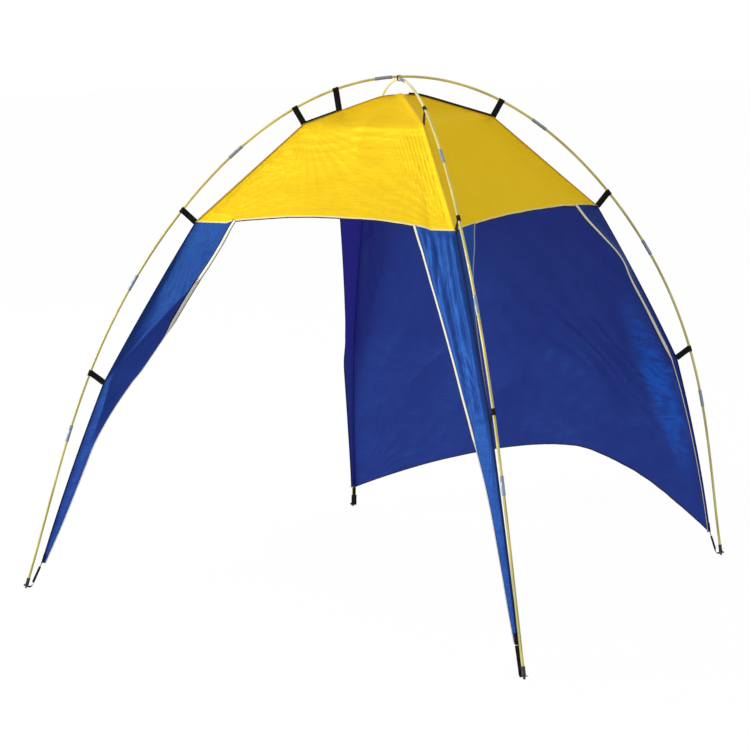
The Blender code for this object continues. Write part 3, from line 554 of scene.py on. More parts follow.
def painted_highlight_patch(cloth, tint):
    """Painted highlight: paler colour in the small creases of a long patch that leans with the wall's edge.
    """
    width, height = HIGHLIGHT_REACH
    leaning = cloth.add("ShaderNodeVectorRotate", rotation_type="Y_AXIS")
    cloth.feed(leaning.inputs["Vector"], cloth.vector("SUBTRACT", cloth.object, HIGHLIGHT_PLACE))
    cloth.feed(leaning.inputs["Angle"], HIGHLIGHT_LEAN)
    length = cloth.add("ShaderNodeVectorMath", operation="LENGTH")
    cloth.feed(length.inputs[0], cloth.vector("MULTIPLY", leaning.outputs[0], (1 / width, 0.0, 1 / height)))
    near = cloth.ramp(length.outputs["Value"], 0.35, 1.0, 1.0, 0.0)
    highlight_in_creases = cloth.ramp(cloth.noise(0.040, 3.0, 0.5, HIGHLIGHT_STRETCH), 0.38, 0.58, 0.35, 1.0)
    # The paler blue mixed into the patch's creases is a painted highlight.
    return cloth.mix(cloth.math("MULTIPLY", near, highlight_in_creases), tint, HIGHLIGHT_BLUE)


print("paler patch:", round(2 * HIGHLIGHT_REACH[0], 2), "m wide and", round(2 * HIGHLIGHT_REACH[1], 2), "m high")

# %% Nylon
WEAVE_PITCH = 0.0016
WEAVE_DEPTH = 0.00006
FLAT_WAVES = (0.16, 0.16, 1.0)
NYLON_GLOSS = {"Specular_IOR_Level": 0.06, "IOR": 1.2}


def layered(cloth, below, kind, light, share, **inputs):
    """A share of another shader over the ones below."""
    layer = cloth.add("ShaderNodeBsdf" + kind)
    for key, value in {"Color": light, **inputs}.items():
        cloth.feed(layer.inputs[key], value)
    both = cloth.add("ShaderNodeMixShader")
    both.inputs[0].default_value = share
    cloth.feed(both.inputs[1], below)
    cloth.feed(both.inputs[2], layer.outputs[0])
    return both.outputs[0]


def nylon(name, colour, deep, shine, gloss, glow, through, ripple, rough, painted_highlight=None):
    """Cloth of one colour, deeper in places, with a weave and fine creases, and an optional painted
    highlight.
    """
    cloth = Finish(name, 0.55)
    tint = cloth.mix(cloth.ramp(cloth.noise(0.22, 4.0, 0.55), 0.32, 0.68), colour, deep)
    tint = painted_highlight(cloth, tint) if painted_highlight else tint
    along, across = cloth.along_and_round()
    threads = cloth.math("MULTIPLY", cloth.wave(along, WEAVE_PITCH), cloth.wave(across, WEAVE_PITCH))
    relief = cloth.bump(cloth.creases(0.055, 3.0), ripple)
    relief = cloth.bump(cloth.creases(0.022, 2.0, FLAT_WAVES), ripple, relief)
    relief = cloth.bump(cloth.noise(0.018, 2.0), 0.0005, relief)
    relief = cloth.bump(threads, WEAVE_DEPTH, relief)
    worn = cloth.ramp(cloth.noise(0.09, 3.0), 0.3, 0.7, rough, rough + 0.1)
    cloth.set(Base_Color=tint, Roughness=worn, Normal=relief, **NYLON_GLOSS)
    whole = layered(cloth, cloth.shader.outputs[0], "Glossy", shine, gloss, Normal=relief, Roughness=worn)
    whole = layered(cloth, whole, "Translucent", glow, through, Normal=relief)
    cloth.feed(cloth.tree.nodes["Material Output"].inputs["Surface"], whole)
    return cloth.material


print("the weave repeats after", WEAVE_PITCH, "m")

# %% Yellow cloth, and three blue ones with painted light and shade
BLUE = (0.015, 0.036, 0.205)
DEEP_BLUE = (0.012, 0.031, 0.175)
BLUE_SHINE = (0.055, 0.37, 0.92)
BLUE_GLOW = (0.060, 0.042, 0.55)


def blue_nylon(part, share, gloss, painted_highlight=None):
    """Blue cloth of one part of the tent. share scales its dye as painted light and shade, gloss makes it
    shine.
    """
    # Lighter dye stands for painted light, darker dye for painted shade.
    lit_or_shaded_dyes = [tuple(share * value for value in dye) for dye in (BLUE, DEEP_BLUE)]
    return nylon("blue_nylon_" + part, *lit_or_shaded_dyes, shine=BLUE_SHINE, gloss=gloss, glow=BLUE_GLOW, through=0.18,
                 ripple=0.0022, rough=0.40, painted_highlight=painted_highlight)


YELLOW_NYLON = nylon("yellow_nylon", colour=(0.98, 0.65, 0.016), deep=(0.95, 0.61, 0.013),
                     shine=(1.0, 0.73, 0.03), gloss=0.33, glow=(1.0, 0.64, 0.01), through=0.16,
                     ripple=0.0030, rough=0.42)
# One blue nylon in three copies whose dye is scaled as painted light and shade: darker for the wall and the
# back legs, a little lighter for the left front leg, much lighter for the right front leg.
LIT_AND_SHADED_BLUES = {"wall": blue_nylon("wall", 0.74, 0.055, painted_highlight_patch), "leg": blue_nylon("leg", 1.08, 0.06),
         "front": blue_nylon("front", 1.38, 0.11)}
print("nylon:", YELLOW_NYLON.name, [cloth.name for cloth in LIT_AND_SHADED_BLUES.values()])

# %% [markdown]
# ### Webbing, tape and cord
# Webbing is woven from thick threads, so it shows small ribs across its length. The tape that
# binds the cloth's edges is finer, and a row of stitches runs along it. The round elastic cords
# are braided. Each thread could be a mesh of its own, but it would be far below the size of a pixel,
# so all three patterns are waves of the distance along and round the piece.

# %% Webbing
WEBBING_RIBS = (0.0018, 0.00018)
TAPE_RIBS = (0.0011, 0.00008)


def ribbed(finish, pitch, depth):
    """Fine ribs across a tape, a little uneven."""
    along, across = finish.along_and_round()
    slant = finish.math("MULTIPLY", finish.wave(across, 4 * pitch), 0.5)
    wave = finish.math("SINE", finish.math("ADD", finish.math("MULTIPLY", along, math.tau / pitch), slant))
    relief = finish.bump(wave, depth)
    return wave, finish.bump(finish.noise(0.003, 2.0), depth, relief)


def webbing():
    """Black woven polypropylene."""
    woven = Finish("black_webbing", 0.8)
    wave, relief = ribbed(woven, *WEBBING_RIBS)
    dusty = woven.ramp(woven.noise(0.02, 4.0), 0.45, 0.75)
    tint = woven.mix(woven.ramp(wave, -1.0, 1.0, 0.0, 0.5), (0.004, 0.004, 0.0045), (0.011, 0.011, 0.012))
    tint = woven.mix(woven.math("MULTIPLY", dusty, 0.2), tint, (0.035, 0.035, 0.034))
    return woven.set(Base_Color=tint, Normal=relief, Specular_IOR_Level=0.18)


print("ribs are", WEBBING_RIBS[0], "m apart on webbing and", TAPE_RIBS[0], "m on tape")

# %% Tape and cord
STITCH_PITCH = 0.0032
STITCH_SHARE = 0.7
STITCH_LINE = 0.0035
THREAD_REACH = 0.0004


def edge_tape(name, colour, thread):
    """Fine ribbed tape with a row of stitches along its middle."""
    tape = Finish(name, 0.62)
    wave, relief = ribbed(tape, *TAPE_RIBS)
    along, across = tape.along_and_round()
    tint = tape.mix(tape.ramp(wave, -1.0, 1.0, 0.0, 0.35), colour, tuple(0.86 * part for part in colour))
    soil = tape.ramp(tape.noise(0.05, 4.0), 0.5, 0.8, 0.0, 0.3)
    tint = tape.mix(soil, tint, tuple(0.72 * part for part in colour))
    beat = tape.math("FRACT", tape.math("MULTIPLY", along, 1 / STITCH_PITCH))
    stitch = tape.math("LESS_THAN", beat, STITCH_SHARE)
    from_line = tape.math("ABSOLUTE", tape.math("SUBTRACT", across, STITCH_LINE))
    dots = tape.math("LESS_THAN", from_line, THREAD_REACH)
    tint = tape.mix(tape.math("MULTIPLY", stitch, dots), tint, thread)
    return tape.set(Base_Color=tint, Normal=relief, Specular_IOR_Level=0.2)


BRAID_PITCH = 0.0024


def braided(name, colour, dark):
    """Round elastic cord with a braided cover."""
    cord = Finish(name, 0.7)
    along, across = cord.along_and_round()
    plus, minus = (cord.wave(cord.math(way, along, across), BRAID_PITCH) for way in ("ADD", "SUBTRACT"))
    braid = cord.math("MAXIMUM", plus, minus)
    tint = cord.mix(cord.ramp(braid, -0.6, 1.0), dark, colour)
    return cord.set(Base_Color=tint, Normal=cord.bump(braid, 0.00025), Sheen_Weight=0.1)


BLACK_WEBBING = webbing()
CREAM_TAPE = edge_tape("cream_tape", (0.90, 0.87, 0.76), (0.68, 0.65, 0.56))
BLACK_TAPE = edge_tape("black_tape", (0.006, 0.006, 0.007), (0.03, 0.03, 0.03))
HEM_TAPE = edge_tape("hem_tape", (0.90, 0.82, 0.48), (0.95, 0.75, 0.20))
YELLOW_TAPE = edge_tape("yellow_tape", (0.80, 0.50, 0.012), (0.95, 0.75, 0.20))
BLUE_TAPE = edge_tape("blue_tape", (0.008, 0.024, 0.13), (0.02, 0.05, 0.20))
GREY_TAPE = edge_tape("grey_tape", (0.36, 0.40, 0.50), (0.25, 0.28, 0.36))
SHOCK_CORD = braided("shock_cord", (0.78, 0.78, 0.72), (0.35, 0.35, 0.33))
FOOT_ELASTIC = braided("foot_elastic", (0.34, 0.35, 0.24), (0.12, 0.13, 0.09))
print("tapes and cords:", BLACK_WEBBING.name, CREAM_TAPE.name, SHOCK_CORD.name, FOOT_ELASTIC.name)

# %% [markdown]
# ### Glass fibre, metal and plastic
# A glass-fibre pole is pulled from a bundle of straight fibres in clear resin: long fine streaks
# under a smooth shine. The ferrules are drawn metal tube with faint lines along them, and the foot
# caps are moulded black plastic with a fine grain and scuffs. A picture of each would need an even
# light and would repeat, so the streaks are noise that is stretched along the UV map.

# %% Hard finishes
FIBRE_LINES = 0.0050


def glass_fibre():
    """Pale yellow resin with long streaks of fibre, browner where it has rubbed."""
    pole = Finish("glass_fibre", 0.24)
    streaks = pole.noise(0.0016, 4.0, 0.6, (0.012, 1.0, 1.0), pole.metres)
    swells = pole.ramp(pole.noise(0.16, 3.0), 0.35, 0.65)
    tint = pole.mix(pole.ramp(streaks, 0.35, 0.65), (0.70, 0.59, 0.10), (0.97, 0.89, 0.33))
    tint = pole.mix(pole.math("MULTIPLY", swells, 0.25), tint, (0.46, 0.37, 0.05))
    turn = pole.wave(pole.along_and_round()[1], FIBRE_LINES)
    lines = pole.ramp(pole.math("ADD", turn, pole.ramp(swells, 0.0, 1.0, -0.4, 0.4)), 0.60, 0.95, 0.0, 0.60)
    tint = pole.mix(lines, tint, (0.14, 0.10, 0.03))
    rubbed = pole.ramp(pole.noise(0.03, 4.0), 0.55, 0.75, 0.20, 0.42)
    return pole.set(Base_Color=tint, Roughness=rubbed, Normal=pole.bump(streaks, 0.00008), Coat_Weight=0.3,
                    Coat_Roughness=0.12)


def ferrule_metal():
    """Blue-grey drawn metal with faint lines along the tube and a few dull marks."""
    metal = Finish("ferrule_metal", 0.5, 1.0)
    lines = metal.noise(0.0010, 3.0, 0.6, (0.02, 1.0, 1.0), metal.metres)
    tint = metal.mix(metal.ramp(lines, 0.3, 0.7), (0.16, 0.20, 0.25), (0.30, 0.35, 0.40))
    dull = metal.ramp(metal.noise(0.02, 4.0), 0.4, 0.7, 0.42, 0.6)
    return metal.set(Base_Color=tint, Roughness=dull, Normal=metal.bump(lines, 0.00005))


def cap_plastic():
    """Black moulded plastic, greyed by sand near the ground."""
    cap = Finish("cap_plastic", 0.5)
    grain = cap.noise(0.0009, 2.0)
    dust = cap.ramp(cap.noise(0.006, 4.0), 0.5, 0.75)
    tint = cap.mix(cap.math("MULTIPLY", dust, 0.5), (0.014, 0.014, 0.015), (0.10, 0.095, 0.085))
    return cap.set(Base_Color=tint, Roughness=cap.ramp(dust, 0.0, 1.0, 0.42, 0.7),
                   Normal=cap.bump(grain, 0.00012))


def eyelet_metal():
    """Plated rings of the foot tabs, dulled by use."""
    ring = Finish("eyelet_metal", 0.28, 1.0)
    marks = ring.noise(0.002, 4.0)
    tint = ring.mix(ring.ramp(marks, 0.4, 0.7), (0.62, 0.60, 0.55), (0.38, 0.36, 0.32))
    return ring.set(Base_Color=tint, Roughness=ring.ramp(marks, 0.3, 0.7, 0.2, 0.45),
                    Normal=ring.bump(marks, 0.00005))


GLASS_FIBRE = glass_fibre()
FERRULE_METAL = ferrule_metal()
CAP_PLASTIC = cap_plastic()
EYELET_METAL = eyelet_metal()
print("hard finishes:", GLASS_FIBRE.name, FERRULE_METAL.name, CAP_PLASTIC.name, EYELET_METAL.name)

# %% [markdown]
# ## Poles, ferrules and foot caps
# Each half pole is four tubes. Seven metal ferrules join the eight tubes of a pole, and a plastic
# cap with a nose closes each end. The solids have eight flat sides and a bend only at their rings.
# A Subdivision modifier would round them, but it would shrink them too. So every tube is turned
# round the smooth middle line, with its bore, and each ferrule gets rolled rims and two crimped
# grooves. Radii are read from the solids, so everything still fits.

# %% Radii and joints of the poles
SECTIONS = 4
BUTT_GAP = 0.0003


def radius_of(node, line, pick=max):
    """Distance of a solid's corners from the middle line of its pole: the largest, or another pick."""
    distances = []
    for point in node_points(node):
        i = np.argmin(np.linalg.norm(line.points - point, axis=1))
        away = point - line.points[i]
        distances.append(float(np.linalg.norm(away - line.ways[i] * (away @ line.ways[i]))))
    return pick(distances)


def section_length(corner):
    """The length of pole from one joint to the next."""
    return corner.pole.length / (2 * SECTIONS)


def turned_up(name, corner, marks, sides=20, is_tube=True):
    """Turns a profile whose distances are measured up from a corner's foot."""
    profile = [(corner.on_pole(distance), radius) for distance, radius in marks]
    return turned(name, corner.pole, profile, sides, is_tube)


POLE_RADIUS = radius_of("left_front_leg_section", top_pole)
BORE_RADIUS = radius_of("left_front_leg_section", top_pole, min)
FERRULE_RADIUS = radius_of("left_front_leg_ferrule", top_pole)
SOCKET_RADIUS = radius_of("left_front_leg_ferrule", top_pole, min)
CAP_RADIUS = radius_of("left_front_foot_cap", top_pole)
CORD_RADIUS = radius_of("left_front_shock_cord", top_pole)
print("radii in mm:", [round(1000 * r, 2) for r in
                       (POLE_RADIUS, BORE_RADIUS, FERRULE_RADIUS, SOCKET_RADIUS, CAP_RADIUS, CORD_RADIUS)])

# %% Tubes of glass fibre
CAP_FLOOR = 0.0163
SECTION_NAMES = ("leg_section", "lower_section", "upper_section", "crown_section")


def pole_section(corner, number):
    """One glass-fibre tube with its bore, from one joint to the next."""
    low = CAP_FLOOR if number == 1 else (number - 1) * section_length(corner) + BUTT_GAP / 2
    high = number * section_length(corner) - BUTT_GAP / 2
    marks = [(low, POLE_RADIUS), (high, POLE_RADIUS), (high, BORE_RADIUS), (low, BORE_RADIUS)]
    part = corner.name + "_" + SECTION_NAMES[number - 1]
    body = corner.name + "_leg" if number == 1 else "root"
    mesh = turned_up(part, corner, marks)
    piece(part + "_tube", mesh, GLASS_FIBRE, body, (part,), outward=True)


for corner in corners.values():
    for number in range(1, SECTIONS + 1):
        pole_section(corner, number)
print("glass-fibre tubes:", 4 * SECTIONS)

# %% Ferrules
FERRULE_LENGTH = 0.070
RIM = 0.0012
GROOVE_WIDTH = 0.0022
GROOVE_DEPTH = 0.00035
GROOVES = (0.30, 0.36)
SLEEVE_NAMES = ("leg", "lower", "upper", "middle")


def ferrule(name, corner, middle, replaced):
    """A metal sleeve with rolled rims, crimped by two grooves on its glued half."""
    low = middle - FERRULE_LENGTH / 2
    high = middle + FERRULE_LENGTH / 2
    marks = [(low, FERRULE_RADIUS - RIM / 3), (low + RIM / 3, FERRULE_RADIUS), (low + RIM, FERRULE_RADIUS)]
    for share in sorted(GROOVES, reverse=True):
        groove = high - share * FERRULE_LENGTH
        for step, depth in ((-1.0, 0.0), (-0.5, GROOVE_DEPTH), (0.5, GROOVE_DEPTH), (1.0, 0.0)):
            marks.append((groove + step * GROOVE_WIDTH, FERRULE_RADIUS - depth))
    marks += [(high - RIM / 3, FERRULE_RADIUS), (high, FERRULE_RADIUS - RIM / 3)]
    marks += [(high, SOCKET_RADIUS), (low, SOCKET_RADIUS)]
    mesh = turned_up(name, corner, marks)
    piece(name, mesh, FERRULE_METAL, "root", replaced, outward=True)


for corner in corners.values():
    for number, part in enumerate(SLEEVE_NAMES if corner.in_front else SLEEVE_NAMES[:-1], 1):
        replaced = (corner.name + "_leg_ferrule",) if part == "leg" else ()
        ferrule(corner.name + "_" + part + "_sleeve", corner, number * section_length(corner), replaced)
print("ferrules: 14, each", FERRULE_LENGTH, "m long")

# %% Foot caps
NOSE_RADIUS = 0.0046
NOSE_LENGTH = 0.012
CAP_LENGTH = 0.045
CAP_GROOVE = (0.0300, 0.0305, 0.0340, 0.0345)
LIP = 0.0010


def foot_cap(corner):
    """Plastic cap: a rounded nose cut level on the ground, a shoulder, and a sleeve with a lip."""
    marks = [(0.0, NOSE_RADIUS - LIP / 2), (LIP / 2, NOSE_RADIUS), (NOSE_LENGTH, NOSE_RADIUS)]
    marks += [(NOSE_LENGTH, CAP_RADIUS - LIP), (NOSE_LENGTH + LIP, CAP_RADIUS)]
    marks += zip(CAP_GROOVE, (CAP_RADIUS, CAP_RADIUS - LIP / 2, CAP_RADIUS - LIP / 2, CAP_RADIUS))
    marks += [(CAP_LENGTH - LIP, CAP_RADIUS), (CAP_LENGTH, CAP_RADIUS - LIP)]
    marks += [(CAP_LENGTH, SOCKET_RADIUS), (CAP_FLOOR, SOCKET_RADIUS)]
    name = corner.name + "_foot_cap"
    mesh = turned_up(corner.name + "_cap", corner, marks, is_tube=False)
    for vertex in mesh.vertices:
        if vertex.co.z < LIP:
            vertex.co.z = 0.0
    piece(name + "_moulded", mesh, CAP_PLASTIC, corner.name + "_leg", (name,), outward=True)


print("a foot cap is", CAP_LENGTH, "m long")

# %% [markdown]
# ## The cord inside the poles
# An elastic cord runs through all tubes of a pole and pulls them together. It stretches where a leg
# is pulled out of its ferrule. Two cords, one for each body, would come apart there, so it is one
# piece, and it is left in no body.

# %% Foot cap and inner cord of each corner
STRETCH_REACH = 0.12


def inner_cord(corner):
    """Elastic cord in one half of a pole, from the foot cap to the middle of the pole."""
    marks = [(distance, CORD_RADIUS) for distance in (CAP_FLOOR, corner.pole.length / 2 - BUTT_GAP / 2)]
    name = corner.name + "_shock_cord"
    mesh = turned_up(name, corner, marks, CORD_SIDES, is_tube=False)
    thing = piece(name + "_braided", mesh, SHOCK_CORD, None, (name,), outward=True)
    ends = (section_length(corner) + way * STRETCH_REACH for way in (1, -1))
    start, end = (tuple(corner.pole.place(corner.on_pole(distance))) for distance in ends)
    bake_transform(thing)


for corner in corners.values():
    foot_cap(corner)
    inner_cord(corner)
print("foot caps and inner cords:", 2 * len(corners))

# %% [markdown]
# ## Webbing loops
# Each strap is one length of webbing, folded round the pole and sewn to itself, with its ends on
# the canopy's edge. A flat strip with a ring at its end would do from far away, but a fold is what
# the real one has. So it is one long tape: along one side of the tail, round the pole and back.
# The width of the tape turns from the pole's direction at the loop to the cloth's edge at its end.

# %% Straps
WEBBING_WIDTH = 0.025
WEBBING_THICKNESS = 0.0015
LOOP_SLACK = 0.0006
TAIL_OPENING = 0.008
LOOP_OPENING = 45
LOOP_POINTS = 10
FINE_STEP = 0.002


def strap_path(centre, along, inward, side, place, edge):
    """Middle line of a strap and the direction of its width, from one sewn end to the other."""
    reach = float((place - centre) @ inward)
    shift = float((place - centre) @ along)
    if edge @ along < 0:
        edge = -edge
    radius = POLE_RADIUS + LOOP_SLACK + WEBBING_THICKNESS / 2
    half = WEBBING_THICKNESS / 2
    turns = np.radians(np.linspace(LOOP_OPENING, 360 - LOOP_OPENING, LOOP_POINTS))
    loop = [(radius * math.cos(turn), radius * math.sin(turn)) for turn in turns]
    tail = [(reach, half), ((reach + radius + TAIL_OPENING) / 2, half), (radius + TAIL_OPENING, half)]
    outline = tail + loop + [(far, -away) for far, away in reversed(tail)]
    outline = smooth_line([(far, away, 0.0) for far, away in outline], FINE_STEP)
    share = np.clip((outline[:, :1] - radius) / (reach - radius), 0, 1)
    path = centre + inward * outline[:, :1] + side * outline[:, 1:2] + along * (shift * share)
    return path, unit((1 - share) * along + share * edge)


def strap(corner, part, place, edge):
    """One webbing loop from the pole to a point of the canopy."""
    at = corner.strap_on_pole(part)
    centre = corner.pole.place(at)
    along = corner.pole.way(at)
    side = corner.pole.side()
    inward = np.cross(side, along)
    if inward @ (place - centre) < 0:
        inward = -inward
    path, across = strap_path(centre, along, inward, side, place, edge)
    mesh = swept(part, path, across, flat_outline(WEBBING_WIDTH, WEBBING_THICKNESS))
    piece(part + "_webbing", mesh, BLACK_WEBBING, "root", (part,), outward=True)


PEAK_FLATTENING = 0.0165
PEAK_ROUNDING = 0.055
PEAK = CROWN + UP * (farthest("roof_top", UP)[2] + PEAK_FLATTENING)
RIDGE_STRAP_SHIFT = 0.016
for corner in corners.values():
    slope = unit(corner.hem - corner.upper)
    edge_down = unit(corner.ridge(0.01) - corner.ridge(0.0))
    strap(corner, corner.name + "_upper_strap", corner.upper, unit(slope + unit(corner.upper - PEAK)))
    strap(corner, corner.name + "_hem_strap", corner.hem, unit(slope + edge_down))
    strap(corner, corner.name + "_leg_strap", corner.leg, unit(corner.tip - corner.hem))
ridge_way = unit(PEAK - left_front.upper)
ridge_end = left_front.strap_end("ridge_strap") - ridge_way * RIDGE_STRAP_SHIFT
strap(left_front, "ridge_strap", ridge_end, ridge_way)
print("webbing loops: 13")

# %% The tie where the poles cross
TIE_TURNS = 2
TIE_POINTS = 97
TIE_ROUNDNESS = 0.6


def squared(wave):
    """A sine or cosine with its round top made flatter, so that a circle turns into a soft square."""
    return np.sign(wave) * np.abs(wave) ** TIE_ROUNDNESS


def crown_tie():
    """A soft black tie wound twice round both poles."""
    low, high = (np.array(corner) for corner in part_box("crown_tie"))
    half = (high - low) / 2 - WEBBING_THICKNESS
    turns = np.linspace(0, TIE_TURNS * math.tau, TIE_POINTS)
    drift = (turns / turns[-1] - 0.5) * half[0]
    wound = np.column_stack([drift, squared(np.cos(turns)) * half[1], squared(np.sin(turns)) * half[2]])
    outline = flat_outline(half[0], WEBBING_THICKNESS)
    mesh = swept("crown_tie", (low + high) / 2 + wound, np.array([1.0, 0.0, 0.0]), outline)
    piece("crown_tie_webbing", mesh, BLACK_WEBBING, "root", ("crown_tie",), outward=True)


crown_tie()

# %% [markdown]
# ## Foot ties
# A webbing tab with a metal eyelet sits on the nose of the foot cap. From there the webbing rises
# to an elastic cord, which pulls the cloth's tip down and out. The eyelet could be drawn on the tab
# as a dark spot, but the nose goes through it, so a Boolean modifier cuts a real hole. The elastic
# belongs to two bodies: its lower end goes with the leg when the leg is pulled. Here it is left in
# no body.

# %% Foot tab, eyelet and elastic
TAB_STATIONS = 4
EDGE_SHARE = 0.48
EYELET_RADIUS = 0.0050
EYELET_RIM = 0.0036
EYELET_HEIGHT = 0.0012


def tab_path(corner, side):
    """The tab's middle line: the means of the four corners at each of its bends."""
    points = node_points(corner.name + "_foot_tab")
    beside = (points - corner.foot) @ side
    points = points[np.abs(beside) > EDGE_SHARE * WEBBING_WIDTH]
    order = np.argsort(np.linalg.norm(points - corner.tip, axis=1))
    return [points[order[4 * i:4 * i + 4]].mean(axis=0) for i in range(TAB_STATIONS)]


def eyelet(corner, middle, axis):
    """A plated ring pressed into the tab, round above and below."""
    first = unit(np.cross(axis, corner.out))
    second = np.cross(axis, first)
    turns = np.arange(32) * math.tau / 32
    spokes = np.cos(turns)[:, None] * first + np.sin(turns)[:, None] * second
    angles = np.arange(12) * math.tau / 12
    radii = EYELET_RADIUS + EYELET_RIM / 2 * (1 + np.cos(angles))
    heights = EYELET_HEIGHT * np.sin(angles)
    rows = middle + spokes[:, None] * radii[None, :, None] + axis * heights[None, :, None]
    mesh = surface("eyelet", rows, ring=True, loop=True)
    piece(corner.name + "_eyelet", mesh, EYELET_METAL, corner.name + "_leg", outward=True)


print("eyelets are", round(2000 * (EYELET_RADIUS + EYELET_RIM), 1), "mm wide")

# %% A round hole
HOLE_SIDES = 24
HOLE_REACH = 0.01


def cut_round_hole(thing, middle, axis, radius):
    """Cuts a hole through a piece and keeps the result as its mesh."""
    turns = np.arange(HOLE_SIDES) * math.tau / HOLE_SIDES
    first = unit(np.cross(axis, UP + LEVEL))
    second = np.cross(axis, first)
    ring = radius * (np.cos(turns)[:, None] * first + np.sin(turns)[:, None] * second)
    rows = [middle + ring + axis * end for end in (-HOLE_REACH, HOLE_REACH)]
    cutter = put("cutter", surface("cutter", rows, ring=True, caps=True))
    hole = thing.modifiers.new("hole", "BOOLEAN")
    hole.operation = "DIFFERENCE"
    hole.object = cutter
    graph = bpy.context.evaluated_depsgraph_get()
    mesh = bpy.data.meshes.new_from_object(thing.evaluated_get(graph))
    thing.modifiers.remove(hole)
    thing.data = mesh
    bpy.data.objects.remove(cutter)


print("a hole is cut through", 2 * HOLE_REACH, "m")

# %% Elastic, sleeve and tab of one foot
ELASTIC_RADIUS = 0.002
ELASTIC_SPAN = (-0.12, 1.1)
ELASTIC_POINTS = 24
SLEEVE_STEP = 0.003
HOLE_LOWERED = 0.0013
# How far each sleeve goes up its elastic, as a share, and its width and thickness in metres.
SLEEVES = {
    "left_front": (0.58, 0.014, 0.010),
    "right_front": (0.95, 0.024, 0.006),
    "right_back": (0.5, 0.014, 0.008),
    "left_back": (0.9, 0.016, 0.010),
}


def tie_sleeve(corner, bend, low, high, side):
    """Webbing folded and sewn round the lower part of the elastic."""
    reach, width, thickness = SLEEVES[corner.name]
    path = smooth_line([0.7 * bend + 0.3 * low, low, low + (high - low) * reach], SLEEVE_STEP)
    mesh = swept("sleeve", path, side, flat_outline(width, thickness))
    name = corner.name + "_tie_sleeve"
    piece(name, mesh, BLACK_WEBBING, corner.name + "_leg", outward=True)


def foot_elastic(corner, low, high, side):
    """The elastic cord from the webbing to the cloth's tip, left in no body."""
    name = corner.name + "_foot_elastic"
    middles = [low + (high - low) * share for share in np.linspace(*ELASTIC_SPAN, ELASTIC_POINTS)]
    mesh = swept(name, middles, side, round_outline(ELASTIC_RADIUS))
    elastic = piece(name + "_cord", mesh, FOOT_ELASTIC, None, (name,), outward=True)
    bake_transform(elastic)


def foot_tie(corner):
    """Tab, eyelet, elastic and sleeve of one foot."""
    leg = corner.name + "_leg"
    pole_way = corner.pole.way(corner.on_pole(0.0)) * (1 if corner.in_front else -1)
    side = unit(np.cross(pole_way, corner.out))
    riser_end, upper_bend, lower_bend, outer_end = tab_path(corner, side)
    path = smooth_line([outer_end, (2 * outer_end + lower_bend) / 3, lower_bend, upper_bend,
                        (upper_bend + riser_end) / 2, riser_end], FINE_STEP)
    name = corner.name + "_foot_tab"
    mesh = swept(name, path, side, flat_outline(WEBBING_WIDTH, WEBBING_THICKNESS))
    tab = piece(name + "_webbing", mesh, BLACK_WEBBING, leg, (name,), outward=True)
    nose = corner.foot + pole_way * (NOSE_LENGTH - HOLE_LOWERED)
    cut_round_hole(tab, nose, pole_way, EYELET_RADIUS)
    eyelet(corner, nose, pole_way)
    foot_elastic(corner, riser_end, corner.tip, side)
    tie_sleeve(corner, upper_bend, riser_end, corner.tip, side)


for corner in corners.values():
    foot_tie(corner)
print("foot ties: 4")

# %% [markdown]
# ## Cloth
# The canopy could be hung by a cloth simulation, but the tent pulls its cloth tight between the
# straps, and the slack shows only as small creases. So each sheet is a fine grid on its true
# curved form, and its creases are moved out of that form along the surface. There are two kinds:
# creases that spread like a fan from a held corner, and soft crumples left over from the bag.

# %% Directions on a grid, and soft random heights
SWELL_WAVES = 14


def grid_normals(rows, ring=False):
    """The direction square to a grid of points at each of them."""
    down = np.gradient(rows, axis=0)
    wide = np.concatenate([rows[:, -1:], rows, rows[:, :1]], axis=1) if ring else rows
    across = np.gradient(wide, axis=1)
    across = across[:, 1:-1] if ring else across
    square = np.cross(down, across)
    return square / np.maximum(np.linalg.norm(square, axis=-1, keepdims=True), 1e-12)


def swells(places, size, seed):
    """A soft random height with swells of about one size, mostly between minus one and one."""
    random = np.random.default_rng(seed)
    ways = unit(random.normal(size=(SWELL_WAVES, 3)))
    ways = ways * random.uniform(0.6, 1.5, (SWELL_WAVES, 1)) * math.tau / size
    starts = random.uniform(0, math.tau, SWELL_WAVES)
    return np.cos(places @ ways.T + starts).sum(axis=-1) / math.sqrt(SWELL_WAVES)


def crumples(places, *kinds):
    """Sharp little ridges where soft random heights pass through zero. A kind is depth, size, seed."""
    return sum(-depth * np.abs(swells(places, size, seed)) for depth, size, seed in kinds)


def fade(distance, reach):
    """From zero at an edge to one at a distance from it."""
    share = np.clip(np.asarray(distance) / reach, 0, 1)
    return share * share * (3 - 2 * share)


print("one random height, at the crown:", swells(CROWN, 1.0, 1).round(3))

# %% Creases that spread from a held corner
FAN_WOBBLE = 0.9
FAN_SWELL = 0.35


def fan(places, apex, middle_way, square, per_radian, reach, seed):
    """Creases that spread from a held corner. They get deeper as they widen, and fade at their reach."""
    away = places - apex
    side_way = np.cross(square, middle_way)
    angle = np.arctan2(away @ side_way, away @ middle_way)
    distance = np.linalg.norm(away, axis=-1)
    wobble = FAN_WOBBLE * swells(places, FAN_SWELL, seed) + seed
    crease = -np.abs(np.sin(math.pi * per_radian * angle + wobble))
    return crease * distance / (math.pi * per_radian) * np.exp(-((distance / reach) ** 2))


def fans(places, square, held):
    """All fans of a sheet: each is its apex, middle direction, depth, creases in a radian, reach and seed."""
    return sum(depth * fan(places, apex, unit(way), square, per_radian, reach, seed)
               for apex, way, depth, per_radian, reach, seed in held)


def sheet_area(thing):
    """The area of a sheet in square metres."""
    return round(sum(face.area for face in thing.data.polygons), 3)


print("a crease of a fan with nine in a radian takes", round(math.degrees(1 / 9), 1), "degrees")

